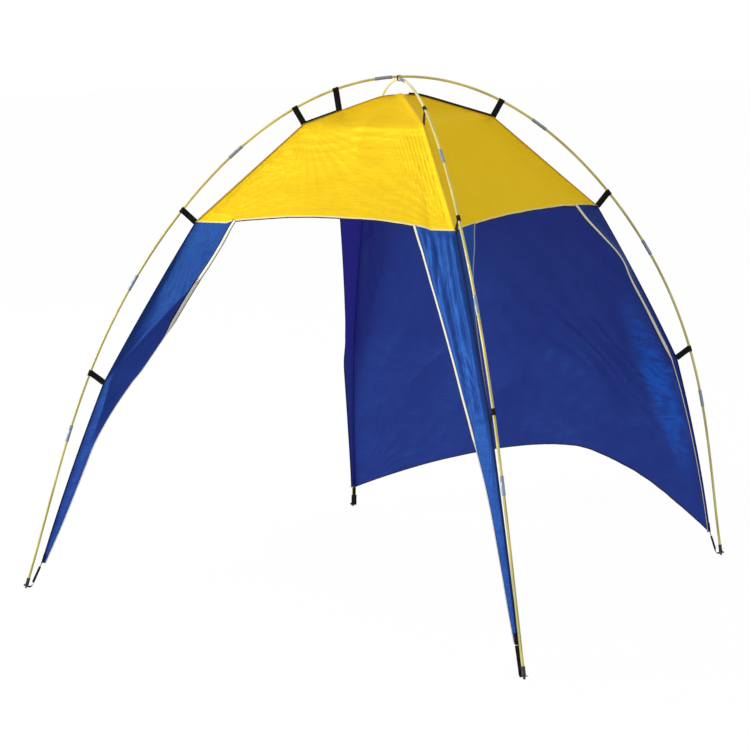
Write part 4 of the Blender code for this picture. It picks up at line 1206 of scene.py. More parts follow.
# %% [markdown]
# ## The roof
# The roof is five yellow panels, sewn along the ridges. A shallow four-sided top is carried by the
# upper straps, and four steeper sides run down to the hem straps. Five separate sheets would show
# gaps at the ridges when their creases move, so it is made as one sheet: rows run round the tent,
# from the peak down to the hem, and columns run down all four sides.

# %% Plain form of one side
TOP_ROWS = 32
SLOPE_ROWS = 84
SIDE_COLUMNS = 150
PANEL_SAG = 0.012
FRONT_ARCH = (0.17, 0.12, 0.038)
SIDE_ARCH = (0.0, 0.0, 0.030)
HEM_ROUNDNESS = 0.6
FOLD_ROUNDING = 4


def hem_lift(along, width, arch):
    """How far the hem rises between two corners. An arch is its two insets and its rise."""
    near, far, rise = arch
    share = np.clip((along - near) / (width - near - far), 0, 1)
    return rise * np.sin(math.pi * share) ** HEM_ROUNDNESS


def roof_side(first, second, arch):
    """Rows of points of one side of the roof, from the peak to the hem."""
    across = np.linspace(0, 1, SIDE_COLUMNS + 1)[None, :, None]
    down = np.linspace(0, 1, TOP_ROWS + 1)[:, None, None]
    middle = np.sin(math.pi * across)
    top = (1 - down) * PEAK + down * ((1 - across) * first.upper + across * second.upper)
    away = np.linalg.norm((top - CROWN)[..., :2], axis=-1, keepdims=True)
    dip = PEAK_FLATTENING * np.exp(-((away / PEAK_ROUNDING) ** 2))
    dip = dip + PANEL_SAG * middle * np.sin(math.pi * down)
    down = np.linspace(0, 1, SLOPE_ROWS + 1)[1:, None, None]
    left = first.upper * (1 - down) + first.hem * down
    right = second.upper * (1 - down) + second.hem * down
    inward = unit(CROWN - (left + right) / 2 * LEVEL)
    slope = left * (1 - across) + right * across + inward * PANEL_SAG * middle * np.sin(math.pi * down)
    if arch:
        width = np.linalg.norm(second.hem - first.hem)
        slope = slope + UP * down ** 2 * hem_lift(across * width, width, arch)
    rows = np.concatenate([top - UP * dip, slope])
    padded = np.concatenate([rows[:1]] * FOLD_ROUNDING + [rows] + [rows[-1:]] * FOLD_ROUNDING)
    soft = sum(padded[i:i + len(rows)] for i in range(2 * FOLD_ROUNDING + 1)) / (2 * FOLD_ROUNDING + 1)
    near_fold = np.exp(-(((np.arange(len(rows)) - TOP_ROWS) / (1.5 * FOLD_ROUNDING)) ** 2))[:, None, None]
    return rows + near_fold * np.sqrt(middle) * (soft - rows)


ring = [left_front, right_front, right_back, left_back, left_front]
arches = (FRONT_ARCH, SIDE_ARCH, None, SIDE_ARCH)
roof_sides = [roof_side(ring[i], ring[i + 1], arches[i]) for i in range(4)]
roof_rows = np.concatenate([side[:, :-1] for side in roof_sides], axis=1)
print("roof grid", roof_rows.shape[:2])

# %% Creases of the roof
HEM_FAN = 9.0
UPPER_FAN = 7.0
RIDGE_PLEAT = 0.0185
PLEAT_DEPTH = 0.0036
PLEAT_REACH = 0.17
RIPPLE = 0.036
RIPPLE_DEPTH = 0.0014
RIPPLE_PLACE = 0.07
ROOF_CRUMPLES = ((0.0030, 0.34, 41), (0.0010, 0.13, 42))
ROOF_SWELL = 0.0016
RIDGE_CALM = 0.035


def bell(value, middle, width):
    """A smooth bump of height one."""
    return np.exp(-(((value - middle) / width) ** 2))


def roof_fans(first, second, places, number):
    """Fans from the four held corners of one side."""
    square = unit(np.cross(second.hem - first.hem, first.upper - first.hem))
    centre = (first.hem + second.hem + first.upper + second.upper) / 4
    held = []
    for corner in (first, second):
        hem_way = unit(centre - corner.hem) + unit(corner.upper - corner.hem)
        held += [(corner.hem, hem_way, 0.16, HEM_FAN, 0.42, 3 + number),
                 (corner.upper, centre - corner.upper, 0.13, UPPER_FAN, 0.36, 7 + number)]
    return fans(places, square, held)


def roof_relief(number):
    """Heights of the creases on one side: fans, pleats beside the ridges and ripples below the top."""
    first, second = ring[number], ring[number + 1]
    places = roof_sides[number]
    share = np.linspace(0, 1, SIDE_COLUMNS + 1)[None, :]
    beside = np.minimum(share, 1 - share) * np.linalg.norm(places[:, -1] - places[:, 0], axis=1)[:, None]
    below = first.upper[2] - places[..., 2]
    pleats = -np.abs(np.sin(math.pi * beside / RIDGE_PLEAT + 0.8 * swells(places, 0.3, 21 + number)))
    pleats = PLEAT_DEPTH * pleats * bell(beside, 0, PLEAT_REACH) * fade(below, 0.1)
    ripples = -np.abs(np.sin(math.pi * below / RIPPLE + 1.3 * swells(places, 0.4, 31 + number)))
    ripples = RIPPLE_DEPTH * ripples * bell(below, RIPPLE_PLACE, RIPPLE_PLACE) * fade(beside, 0.12)
    relief = roof_fans(first, second, places, number) + pleats + ripples
    relief = relief + crumples(places, *ROOF_CRUMPLES) + ROOF_SWELL * swells(places, 0.20, 43)
    return relief * fade(beside, RIDGE_CALM)


relief = np.concatenate([roof_relief(number)[:, :-1] for number in range(4)], axis=1)
roof_normals = grid_normals(roof_rows, ring=True)
if (roof_normals[-1] @ UP).mean() < 0:
    roof_normals = -roof_normals
relief[0] = 0.0
roof_rows = roof_rows + roof_normals * relief[..., None]
print("creases of the roof, in mm:", np.percentile(1000 * relief, [1, 50, 99]).round(1))

# %% The roof's sheet
ROOF_NODES = ("roof_top", "roof_front", "roof_right", "roof_back", "roof_left")
ROOF_SHARP = math.radians(50)
WELD = 1e-5


def roof_sheet():
    """The whole roof as one sheet, closed at the peak."""
    mesh = surface("roof", roof_rows, ring=True)
    shape = bmesh.new()
    shape.from_mesh(mesh)
    bmesh.ops.remove_doubles(shape, verts=shape.verts[:roof_rows.shape[1]], dist=WELD)
    shape.to_mesh(mesh)
    shape.free()
    return piece("roof_sheet", mesh, YELLOW_NYLON, "root", ROOF_NODES, sharp=ROOF_SHARP)


roof = roof_sheet()
print("roof area", sheet_area(roof), "square metres")

# %% [markdown]
# ## Leg cloths
# Each front leg carries one blue cloth that is folded over the corner: a broad front part and a
# narrow side part. Both taper to the foot. The cloth could be modelled flat and pushed into folds,
# but that would stretch it. So it is walked: from the ridge to the free edge in small steps, with a
# heading that turns at each fold. Every step has the same length in cloth, so the sheet keeps its
# true width however it is folded.

# %% Sizes of the gussets
LEG_ROWS = 210
FRONT_COLUMNS = 48
GUSSET_COLUMNS = 18
TIP_WIDTH = 0.020
FRONT_GUSSETS = {"left_front": 0.214, "right_front": 0.192}
FRONT_TAPER = 0.94
FRONT_CUTS = {
    "left_front": ((0, 0.45, 0.555, 0.63, 0.74, 0.90, 1), (1, 1, 0.80, 0.70, 0.82, 1, 1)),
    "right_front": ((0, 0.15, 0.34, 0.42, 0.51, 0.62, 0.70, 0.86, 1),
                    (1, 0.95, 0.86, 0.85, 0.80, 0.67, 0.63, 0.67, 0.8)),
}
# The width at the hem, how fast it tapers, and the width at the tip.
SIDE_GUSSETS = {
    "left_front": (0.135, 4.0, 0.008),
    "right_front": (0.135, 9.0, 0.008),
    "right_back": (0.178, 3.3, 0.020),
    "left_back": (0.178, 1.9, 0.020),
}
shares = np.linspace(0, 1, LEG_ROWS + 1)


def tapered(top, taper, tip=TIP_WIDTH):
    """Widths of a gusset from the hem to the tip."""
    return tip + (top - tip) * (1 - shares) ** taper


def soft_steps(value, marks, heights):
    """A line through a few marks with its corners rounded."""
    reach = np.linspace(-0.03, 0.03, 7)
    return sum(np.interp(value + shift, marks, heights) for shift in reach) / len(reach)


LEG_SHARE = float((left_front.hem[2] - left_front.leg[2]) / (left_front.hem[2] - left_front.tip[2]))
front_widths = {name: tapered(width, FRONT_TAPER) * soft_steps(shares, *FRONT_CUTS[name])
                for name, width in FRONT_GUSSETS.items()}
for name, widths in front_widths.items():
    print(name, "gusset widths at the hem, the leg strap and the tip, in mm:",
          [round(1000 * float(np.interp(s, shares, widths))) for s in (0, LEG_SHARE, 1)])

# %% Walk a gusset from the ridge to its free edge
HEM_FADE = 0.07
LIFT_FADE = 0.14


def gusset(corner, neighbour, widths, heading, columns, arch):
    """Rows from the ridge to the free edge. heading(share, q) is the turn inward, in degrees.

    The top edge is sewn to the roof's hem, so it rises with the hem's arch.
    """
    start = corner.ridge(shares)
    ahead = unit(neighbour.ridge(shares) - start)
    inward = (CROWN - start) * LEVEL
    inward = unit(inward - ahead * (inward * ahead).sum(axis=1)[:, None])
    q = (np.arange(columns) + 0.5) / columns
    turn = np.radians(heading(shares[:, None], q[None, :]) * fade(shares, HEM_FADE)[:, None])[..., None]
    steps = (ahead[:, None] * np.cos(turn) + inward[:, None] * np.sin(turn)) * widths[:, None, None] / columns
    walked = np.concatenate([np.zeros((len(shares), 1, 3)), np.cumsum(steps, axis=1)], axis=1)
    along = np.linspace(0, 1, columns + 1) * widths[0]
    lift = hem_lift(along, np.linalg.norm(neighbour.hem - corner.hem), arch)
    return start[:, None] + walked + UP * (lift[None, :] * (1 - fade(shares, LIFT_FADE)[:, None]))[..., None]


print("a gusset is walked in", FRONT_COLUMNS, "steps in front and", GUSSET_COLUMNS, "at the side")

# %% Headings of the front parts
def left_heading(share, q):
    """The left front cloth: a strip along the ridge, a bright face and a part turned in beyond a fold."""
    marks = (0.10, 0.17, LEG_SHARE - 0.03, LEG_SHARE + 0.11, 1.0)
    fold = soft_steps(share, marks, (1.12, 0.98, 0.12, 0.60, 0.70))
    beyond = fade(q - fold + 0.04, 0.10)
    depth = 38 * (1 - 0.75 * fade(share - LEG_SHARE - 0.10, 0.10))
    reach = 0.10 + 0.20 * bell(share, 0.34, 0.12)
    strip = 36 * bell(q, 0, reach) * fade(share - 0.03, 0.12) * (1 - fade(share - LEG_SHARE + 0.05, 0.05))
    second = 16 * bell(q, fold - 0.16, 0.05) * bell(share, 0.36, 0.09)
    return 2 + 5 * q + depth * beyond + strip + second


def right_heading(share, q):
    """The right front cloth: a strip along the ridge and long folds down to the leg strap."""
    groove = 0.57 + 0.72 * share
    waves = -24 * bell(q, 0, 0.09) - 34 * bell(q, groove, 0.06) + 7 * bell(q, 0.42, 0.16)
    waves = waves + 9 * np.sin(math.tau * (2.6 * q - 1.4 * share)) * bell(share, 0.2, 0.2)
    return 3 + waves * (1 - 0.75 * fade(share - LEG_SHARE + 0.05, 0.15))


print("turns at the leg strap, in degrees:", [round(float(heading(np.array(LEG_SHARE), 0.5)), 1)
                                              for heading in (left_heading, right_heading)])

# %% Headings of the side parts
SIDE_TURNS = {
    "left_front": ((0, 1), (14, 10)),
    "right_front": ((0, 0.3, 0.46, 0.6, 1), (-12, -10, 10, 35, 35)),
    "right_back": ((0, 0.04, 0.10, 0.147, 0.22, 0.31, 0.42, 1), (0, -2, -15, -27, -14, -9, 4, 0)),
    "left_back": ((0, 0.15, 0.42, 0.50, 0.56, 0.70, 0.80, 0.90, 1), (0, 2, 5, 1, -22, -30, -30, -15, 0)),
}


def side_heading(corner):
    """The side parts turn slowly from the hem to the tip, with one soft fold."""
    marks, turns = SIDE_TURNS[corner.name]

    def heading(share, q):
        fold = 7 * np.sin(math.tau * (q + 0.3 * share)) * bell(share, 0.3, 0.4)
        return soft_steps(share, marks, turns) + fold + 5 * q

    return heading


print("marks of the side parts' turns:", [len(SIDE_TURNS[name][0]) for name in CORNERS])

# %% Creases of a leg cloth
LONG_PITCH = 0.040
LONG_DEPTH = 0.0034
RIDGE_FADE = 0.02
EDGE_FADE = 0.03
LEG_CRUMPLES = ((0.0016, 0.20), (0.0008, 0.08))
PLANE_ROW = 60


def long_creases(rows, seed):
    """Creases that run down a gusset, from the hem to the leg strap."""
    beside = np.linalg.norm(rows - rows[:, :1], axis=-1)
    wobble = 1.5 * swells(rows, 0.5, seed)
    pleats = -np.abs(np.sin(math.pi * beside / LONG_PITCH + wobble + 2.2 * shares[:, None]))
    return LONG_DEPTH * pleats * (1 - fade(shares - LEG_SHARE + 0.04, 0.1))[:, None]


def leg_fans(corner, rows, seed):
    """Fans from the hem strap, from both sides of the leg strap and from the free edge at the hem."""
    square = unit(np.cross(rows[0, -1] - rows[0, 0], rows[PLANE_ROW, 0] - rows[0, 0]))
    down = unit(corner.tip - corner.hem)
    edge_way = unit(rows[0, -1] - rows[0, 0])
    return fans(rows, square, ((corner.hem, down + 0.35 * edge_way, 0.20, 10.0, 0.28, seed),
                               (corner.leg, 0.25 * edge_way - down, 0.24, 11.0, 0.30, seed + 1),
                               (corner.leg, down + 0.15 * edge_way, 0.18, 12.0, 0.22, seed + 2),
                               (rows[0, -1], down - 0.5 * edge_way, 0.16, 9.0, 0.16, seed + 3)))


def with_relief(corner, rows, seed, depth, is_pleated=False):
    """A grid with its creases moved out along the surface. They fade towards all edges."""
    kinds = [(height, size, seed + 4 + i) for i, (height, size) in enumerate(LEG_CRUMPLES)]
    relief = leg_fans(corner, rows, seed) + crumples(rows, *kinds)
    if is_pleated:
        relief = relief + long_creases(rows, seed + 6)
    from_ridge = np.linalg.norm(rows - rows[:, :1], axis=-1)
    from_edge = np.linalg.norm(rows - rows[:, -1:], axis=-1)
    calm = fade(from_ridge, RIDGE_FADE) * fade(from_edge, EDGE_FADE) * fade(shares, RIDGE_FADE)[:, None]
    return rows + grid_normals(rows) * (depth * relief * calm)[..., None]


print("long creases:", LONG_PITCH, "m apart,", LONG_DEPTH, "m deep")

# %% Leg sheets
# The copy of the blue nylon, with its painted light or shade, that each leg cloth gets.
LIT_COPY_OF = {"left_front": "leg", "right_front": "front", "right_back": "wall", "left_back": "wall"}
CLOTH_SHARP = math.radians(60)


def leg_cloth(corner, rows):
    """The sheet of one leg."""
    name = corner.name + "_leg_cloth"
    finish = LIT_AND_SHADED_BLUES[LIT_COPY_OF[corner.name]]
    mesh = surface(name, rows)
    return piece(name + "_sheet", mesh, finish, "root", (name,), sharp=CLOTH_SHARP)


near, far, rise = FRONT_ARCH
front_parts = {}
for corner, neighbour, heading, arch, seed, depth, is_pleated in (
        (left_front, right_front, left_heading, (near, far, rise), 51, 1.2, False),
        (right_front, left_front, right_heading, (far, near, rise), 61, 1.6, True)):
    rows = gusset(corner, neighbour, front_widths[corner.name], heading, FRONT_COLUMNS, arch)
    front_parts[corner.name] = with_relief(corner, rows, seed, depth, is_pleated)
side_parts = {}
for number, (corner, neighbour) in enumerate(((left_front, left_back), (right_front, right_back),
                                              (right_back, right_front), (left_back, left_front))):
    widths = tapered(*SIDE_GUSSETS[corner.name])
    rows = gusset(corner, neighbour, widths, side_heading(corner), GUSSET_COLUMNS, SIDE_ARCH)
    rows = with_relief(corner, rows, 71 + 10 * number, 0.7)
    side_parts[corner.name] = rows
    if corner.in_front:
        rows = np.concatenate([rows[:, :0:-1], front_parts[corner.name]], axis=1)
    leg_cloth(corner, rows)

# %% [markdown]
# ## The back wall
# The wall hangs between the two back legs, from the roof's hem to an arched hem of its own. It has
# a little more width than it needs, so it hangs in soft upright folds, with slanting pulls from the
# upper corners towards the feet. Wide folds could be a Wave modifier, but the pulls start at points
# of the tent. So folds and pulls are both formulas of the place on the wall.

# %% Form of the back wall
WALL_ROWS = 180
WALL_COLUMNS = 260
WALL_HEM_RISE = 0.320
WALL_HEM_TOP = 0.67
WALL_HEM_CURVE = 1.65
WALL_FOLD = 0.012
WALL_FOLDS = 3
WALL_FOLD_DRIFT = 0.25
WALL_FOLD_FADE = 0.62


def wall_rows():
    """Rows of the back wall from the roof's hem down to its own."""
    across = np.linspace(0, 1, WALL_COLUMNS + 1)
    rising = np.minimum(across / WALL_HEM_TOP, (1 - across) / (1 - WALL_HEM_TOP))
    hem = WALL_HEM_RISE * (1 - (1 - rising) ** WALL_HEM_CURVE) / (left_back.hem[2] - left_back.tip[2])
    r = np.linspace(0, 1, WALL_ROWS + 1)[:, None]
    down = r * (1 - hem)
    start, end = left_back.ridge(down), right_back.ridge(down)
    rows = start * (1 - across)[:, None] + end * across[:, None]
    swell = np.sin(math.pi * across) * np.sin(math.pi * WALL_FOLD_FADE * r)
    rows[..., 1] += WALL_FOLD * swell * np.sin(math.tau * WALL_FOLDS * (across + WALL_FOLD_DRIFT * down))
    return rows, across, r


back_wall_rows, across_wall, down_wall = wall_rows()
print("highest point of the wall's hem", round(float(back_wall_rows[-1, :, 2].max()), 3), "m up")

# %% Creases of the back wall
PULL_PITCH = 0.19
PULL_DEPTH = 0.0105
PULL_SLANT = 0.8
# Across the wall and up.
CRINKLE_PLACE = (0.74, 0.82)
CRINKLE_REACH = (0.13, 0.20)
CRINKLE_PITCH = 0.026
CRINKLE_DEPTH = 0.0095
WALL_CRUMPLES = ((0.0050, 0.38, 96), (0.0018, 0.12, 97))


def wall_pulls(rows):
    """Slanting pulls across the right part of the wall."""
    turns = (rows[..., 0] + PULL_SLANT * rows[..., 2]) / PULL_PITCH
    wave = np.sin(math.tau * turns + 1.6 * swells(rows, 0.5, 91))
    strength = fade(across_wall - 0.35, 0.4) * np.sin(math.pi * np.clip(down_wall * 1.05, 0, 1))
    return PULL_DEPTH * wave * strength


def wall_crinkles(rows):
    """Fine creases in a patch near the right edge, where a painted highlight makes the colour paler too."""
    wide, high = np.moveaxis((rows[..., ::2] - CRINKLE_PLACE) / CRINKLE_REACH, -1, 0)
    turns = (rows[..., 2] + 0.3 * rows[..., 0]) / CRINKLE_PITCH
    crinkle = np.sin(math.pi * turns + 1.8 * swells(rows, 0.13, 98))
    return -CRINKLE_DEPTH * np.exp(-wide ** 2 - high ** 2) * np.abs(crinkle)


def wall_fans(rows):
    """Fans from the hem straps, the leg straps and the tips."""
    held = []
    for corner, way in ((left_back, 1.0), (right_back, -1.0)):
        held += [(corner.hem, (way, 0.0, -1.1), 0.14, 7.0, 0.50, 93),
                 (corner.leg, (way, 0.0, 0.4), 0.13, 8.0, 0.32, 94),
                 (corner.tip, (0.5 * way, 0.0, 1.0), 0.19, 8.0, 0.45, 95)]
    return fans(rows, np.array([0.0, 1.0, 0.0]), held)


def with_wall_creases(rows):
    """The wall's grid with all its creases, which fade towards its sides and its top."""
    widths = np.linalg.norm(rows[:, -1] - rows[:, 0], axis=1)[:, None]
    beside = np.minimum(across_wall, 1 - across_wall) * widths
    relief = wall_pulls(rows) + wall_fans(rows) + crumples(rows, *WALL_CRUMPLES) + wall_crinkles(rows)
    return rows + grid_normals(rows) * (relief * fade(beside, 0.05) * fade(down_wall, 0.04))[..., None]


back_wall_rows = with_wall_creases(back_wall_rows)
back_wall = piece("back_wall_sheet", surface("back_wall", back_wall_rows), LIT_AND_SHADED_BLUES["wall"],
                  "root", ("back_wall",), sharp=CLOTH_SHARP)
print("back wall", sheet_area(back_wall), "square metres")

# %% [markdown]
# ## Binding, seams and ridge tape
# The free edges of three leg cloths are bound with a folded cream tape, on a black one that shows
# as piping before it and as painted shade beyond it. The other edges are rolled and sewn, and the
# roof's hem has a pale tape over a black one, which paints the shade line below the hem. The ridges
# are felled seams, three of them with a thin black piping where they are steep, and black webbing
# is sewn along two stretches of the roof's top ridges. Such lines could be painted on the cloth, but
# a tape has a thickness that shows at the outline. All of them are swept along the cloth's own
# edge points, so they lie on it exactly.

# %% Tapes that follow an edge
EDGE_REACH = 0.004
ROLL_WIDTH = 0.005
ROLL_REACH = 0.002
BINDING_THICKNESS = 0.0020
PIPING_THICKNESS = 0.0015
# The width of each cream tape, and how much of the black one shows beyond it as painted shade and before it
# as piping.
BINDINGS = {
    "left_front": (0.014, 0.0025, 0.005),
    "right_front": (0.010, 0.004, 0.001),
    "right_back": (0.018, 0.007, 0.001),
}


def edge_strip(name, edge, inner, width, thickness, material, slot, offset, scale=1.0):
    """A tape along a row of edge points. inner is a row of the cloth beside the edge."""
    mesh = swept(name, edge, unit(edge - inner), flat_outline(width, thickness, offset), scale)
    return piece(name, mesh, material, "root", outward=True)


def bound_edge(name, edge, inner, scale, width, beyond, before):
    """A bound edge: a cream tape, on a black one that shows beyond it as painted shade and before it as
    piping.
    """
    # The black tape is piping before the cream one and painted shade beyond it.
    black_shade_tape = edge_strip(name + "_piping", edge, inner, width + beyond + before, PIPING_THICKNESS, BLACK_TAPE,
                       "black_webbing", EDGE_REACH + (beyond - width - before) / 2, scale)
    cream = edge_strip(name + "_binding", edge, inner, width, BINDING_THICKNESS, CREAM_TAPE, None,
                       EDGE_REACH - width / 2, scale)
    return [black_shade_tape, cream]


def rolled_edge(name, edge, inner, material):
    """A narrow rolled hem, sewn with one row of stitches."""
    slot = "blue_nylon" if material is BLUE_TAPE else None
    return [edge_strip(name + "_roll", edge, inner, ROLL_WIDTH, BINDING_THICKNESS, material, slot,
                       ROLL_REACH - ROLL_WIDTH / 2)]


print("bindings:", list(BINDINGS))

# %% [markdown]
# ### Tapes of the leg cloths and the wall
# A tape that is turned away from the eye looks narrower. On the real tent the bindings twist a
# little on their way down. A twisted tape would leave the cloth's edge, so instead each of these
# narrows at one place and stays narrow from there down to the tip.

# %% Edges of the leg cloths and the wall
TAPE_WIDTHS = {"left_front": 1 - 0.82 * fade(shares - 0.28, 0.06),
               "right_front": 1 - 0.75 * fade(shares - 0.50, 0.05),
               "right_back": 1 - 0.70 * fade(shares - 0.42, 0.06)}
PIPING_WIDTH = 0.0035
WALL_PIPING_HEIGHT = 0.0030
WALL_PIPING_REACH = 0.003


def bound_side(name, part, rows):
    """The bound free edge of a leg cloth's front or side part."""
    label = name + "_" + part + "_edge"
    return bound_edge(label, rows[:, -1], rows[:, -3], TAPE_WIDTHS[name], *BINDINGS[name])


leg_trims = {}
for name, side in side_parts.items():
    if name == "right_back":
        leg_trims[name] = bound_side(name, "side", side)
    else:
        edging = GREY_TAPE if name == "right_front" else BLUE_TAPE
        leg_trims[name] = rolled_edge(name + "_side_edge", side[:, -1], side[:, -3], edging)
    if name in front_parts:
        leg_trims[name] += bound_side(name, "front", front_parts[name])
wall_edge = (back_wall_rows[-1], back_wall_rows[-3])
wall_trims = rolled_edge("back_wall_hem", *wall_edge, BLUE_TAPE)
wall_trims.append(edge_strip("back_wall_hem_piping", *wall_edge, PIPING_WIDTH, WALL_PIPING_HEIGHT,
                             BLACK_TAPE, "black_webbing", WALL_PIPING_REACH))
print("edge tapes:", sum(len(trims) for trims in leg_trims.values()) + len(wall_trims))

# %% Hem and seams of the roof
SEAM_WIDTH = 0.011
SEAM_THICKNESS = 0.0016
SEAM_LIFT = 0.0006
PIPING_HEIGHT = 0.0022
# Width, thickness and shift of the hem's painted shade line and its pale tape. A shift below zero is inward.
HEM_SHADE_LINE = (0.012, 0.0014, -0.0015)
HEM_BINDING = (0.0080, 0.0020, -0.0040)


def roof_hems():
    """The hem's tapes: a pale one, and a thin black one below it all the way round as a painted shade line.
    """
    edge, inner = (np.concatenate([roof_rows[row], roof_rows[row, :1]]) for row in (-1, -4))
    # The black tape paints the shade line below the hem.
    width, thickness, shift = HEM_SHADE_LINE
    black_shade_tape = edge_strip("roof_hem_piping", edge, inner, width, thickness, BLACK_TAPE, "black_webbing", shift)
    width, thickness, shift = HEM_BINDING
    pale = edge_strip("roof_hem_binding", edge, inner, width, thickness, HEM_TAPE, None, shift)
    return [black_shade_tape, pale]


def beside_ridge(number):
    """Columns of the roof's grid on a ridge, before it and after it."""
    column = number * SIDE_COLUMNS
    return roof_rows[:, column], roof_rows[:, (column - 2) % roof_rows.shape[1]], roof_rows[:, column + 2]


def ridge_seam(corner, number):
    """Felled seam down one ridge, from the peak to the hem, and piping where the ridge is steep."""
    edge, before, after = beside_ridge(number)
    square = grid_normals(np.stack([before, edge, after], axis=1))[:, 1]
    across = unit(after - before)
    lift = np.where((square @ UP)[:, None] < 0, -square, square) * SEAM_LIFT
    seam = swept("seam", (edge + lift)[2:], across[2:], flat_outline(SEAM_WIDTH, SEAM_THICKNESS))
    seam = piece(corner.name + "_roof_seam", seam, YELLOW_TAPE, "root", outward=True)
    if corner is right_front:
        return [seam]
    start = TOP_ROWS - 1
    outline = flat_outline(PIPING_WIDTH, PIPING_HEIGHT)
    piping = swept("piping", (edge + 2 * lift)[start:], across[start:], outline)
    piping = piece(corner.name + "_roof_piping", piping, BLACK_TAPE, "root", outward=True)
    return [seam, piping]


roof_trims = roof_hems()
for number, corner in enumerate(corners.values()):
    roof_trims += ridge_seam(corner, number)
print("roof hems, seams and pipings:", len(roof_trims))

# %% Webbing along the top ridges
RIDGE_TAPE_WIDTH = 0.012
RIDGE_TAPE_HEIGHT = 0.010
RIDGE_TAPE_LIFT = 0.0030
BACK_TAPE_ROW = 3


def ridge_tape(name, number, low):
    """Black webbing along a top ridge, from a row of the roof to the upper strap."""
    edge, before, after = (column[low:TOP_ROWS + 1] for column in beside_ridge(number))
    outline = flat_outline(RIDGE_TAPE_WIDTH, RIDGE_TAPE_HEIGHT)
    mesh = swept(name, edge + UP * RIDGE_TAPE_LIFT, unit(after - before), outline)
    return piece(name, mesh, BLACK_WEBBING, "root", outward=True)


strap_row = int(np.argmin(np.linalg.norm(roof_rows[:TOP_ROWS, 0] - ridge_end, axis=1)))
roof_trims.append(ridge_tape("left_front_ridge_tape", 0, strap_row))
roof_trims.append(ridge_tape("right_back_ridge_tape", 2, BACK_TAPE_ROW))
print("roof trims:", len(roof_trims), "ridge strap at row", strap_row)

# %% Seams of the leg cloths
LEG_SEAM = (0.009, 0.0022)
LEG_SEAM_LIFT = 0.0008
TIP_PATCH = (0.022, 0.0030)
TIP_PATCH_LIFT = 0.0012
TIP_PATCH_START = 0.972


def leg_seam(corner):
    """The seam along a leg cloth's ridge, and the patch of webbing at its tip."""
    edge = corner.ridge(shares)
    across = unit(np.cross(unit(np.gradient(edge, axis=0)), corner.out))
    seam = swept("leg_seam", edge + corner.out * LEG_SEAM_LIFT, across, flat_outline(*LEG_SEAM))
    seam = piece(corner.name + "_leg_seam", seam, BLUE_TAPE, "root", outward=True)
    rows = corner.ridge(np.linspace(TIP_PATCH_START, 1.0, 8)) + corner.out * TIP_PATCH_LIFT
    patch = swept("tip_patch", rows, across[-1], flat_outline(*TIP_PATCH))
    patch = piece(corner.name + "_tip_patch", patch, BLACK_WEBBING, "root", outward=True)
    return [seam, patch]


for name, corner in corners.items():
    leg_trims[name] += leg_seam(corner)
print("leg seams and tip patches: 4 and 4")

# %% [markdown]
# ### What each sheet was cut to
# Every sheet is stretched between its straps, so its flat area is close to its area in place. The
# sheets are cut to shapes that narrow.


# %% [markdown]
# ## Floor and light
# The tent stands on a plain white floor. A picture could be lit until its floor is white, but then
# the cloth would be too pale. So to the camera the floor is mostly its own light, which keeps it
# white out to the horizon, and a little plain paint, so that the tent's shadow still falls on it.
# The light is one large soft lamp on the left and a pale sky all round.

# %% Floor
FLOOR_REACH = 60.0
FLOOR_PAINT = (0.50, 0.50, 0.50, 1.0)
FLOOR_ROUGHNESS = 0.9
GLOW_STRENGTH = 1.06
FLOOR_GLOW = 0.90


def camera_like_rays(tree):
    """One for rays that show the background: from the camera, a reflection or through glass."""
    path = tree.nodes.new("ShaderNodeLightPath")
    rays = path.outputs["Is Camera Ray"]
    for name in ("Is Glossy Ray", "Is Transmission Ray"):
        largest = tree.nodes.new("ShaderNodeMath")
        largest.operation = "MAXIMUM"
        tree.links.new(rays, largest.inputs[0])
        tree.links.new(path.outputs[name], largest.inputs[1])
        rays = largest.outputs[0]
    return rays


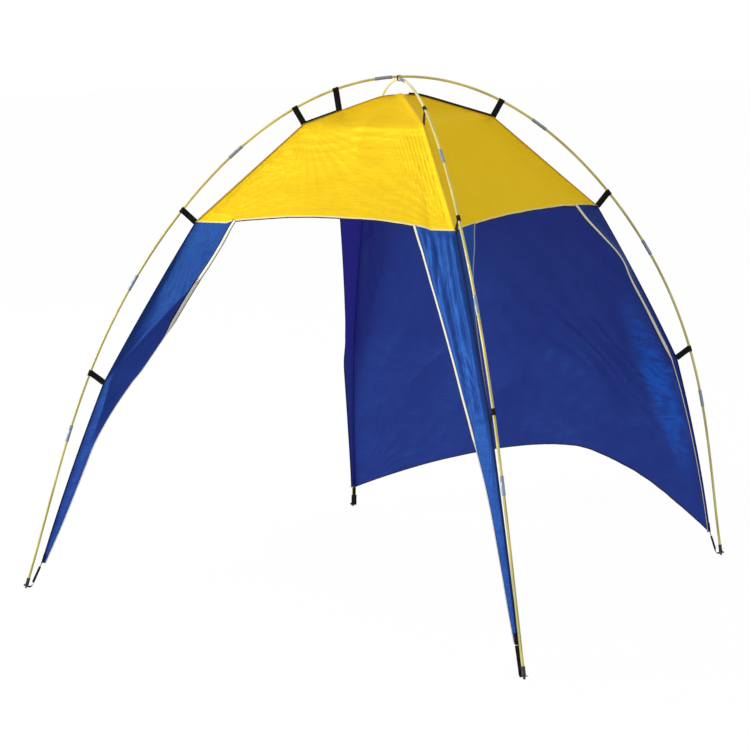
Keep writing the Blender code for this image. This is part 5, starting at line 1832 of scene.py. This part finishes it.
def white_floor():
    """White paint that also glows a little where the camera sees it."""
    material = bpy.data.materials.new("floor_white")
    material.use_nodes = True
    tree = material.node_tree
    paint = tree.nodes["Principled BSDF"]
    paint.inputs["Base Color"].default_value = FLOOR_PAINT
    paint.inputs["Roughness"].default_value = FLOOR_ROUGHNESS
    glow = tree.nodes.new("ShaderNodeEmission")
    glow.inputs["Strength"].default_value = GLOW_STRENGTH
    both = tree.nodes.new("ShaderNodeMixShader")
    share = tree.nodes.new("ShaderNodeMath")
    share.operation = "MULTIPLY"
    share.inputs[1].default_value = FLOOR_GLOW
    tree.links.new(camera_like_rays(tree), share.inputs[0])
    tree.links.new(share.outputs[0], both.inputs[0])
    tree.links.new(paint.outputs[0], both.inputs[1])
    tree.links.new(glow.outputs[0], both.inputs[2])
    tree.links.new(both.outputs[0], tree.nodes["Material Output"].inputs["Surface"])
    return material


floor_mesh = bpy.data.meshes.new("floor")
floor_corners = [(x * FLOOR_REACH, y * FLOOR_REACH, 0.0) for x, y in ((-1, -1), (1, -1), (1, 1), (-1, 1))]
floor_mesh.from_pydata(floor_corners, [], [(0, 1, 2, 3)])
floor_mesh.materials.append(white_floor())
put("floor", floor_mesh)
print("floor", 2 * FLOOR_REACH, "m wide")

# %% Lamp and sky
LAMP_WAY = unit([-0.66, -0.62, 0.40])
LAMP_DISTANCE = 12.0
LAMP_SIZE = 5.0
LAMP_POWER = 980.0
SKY_LIGHT = 0.62


def soft_lamp():
    """A large square lamp, aimed at the middle of the tent."""
    data = bpy.data.lights.new("soft_lamp", "AREA")
    data.size = LAMP_SIZE
    data.energy = LAMP_POWER
    side = unit(np.cross(UP, LAMP_WAY))
    stand(put("soft_lamp", data), side, np.cross(LAMP_WAY, side), LAMP_WAY, LAMP_WAY * LAMP_DISTANCE)


def pale_sky():
    """A dim even sky that looks white to the camera."""
    world = bpy.data.worlds.new("pale_sky")
    bpy.context.scene.world = world
    world.use_nodes = True
    tree = world.node_tree
    sky = tree.nodes["Background"]
    strength = tree.nodes.new("ShaderNodeMapRange")
    strength.inputs["To Min"].default_value = SKY_LIGHT
    strength.inputs["To Max"].default_value = 1.0
    tree.links.new(camera_like_rays(tree), strength.inputs["Value"])
    tree.links.new(strength.outputs[0], sky.inputs["Strength"])
    sky.inputs["Color"].default_value = (1.0, 1.0, 1.0, 1.0)


soft_lamp()
pale_sky()
bpy.context.scene.view_settings.view_transform = "Standard"
print("lamp", LAMP_POWER, "W, sky", SKY_LIGHT)
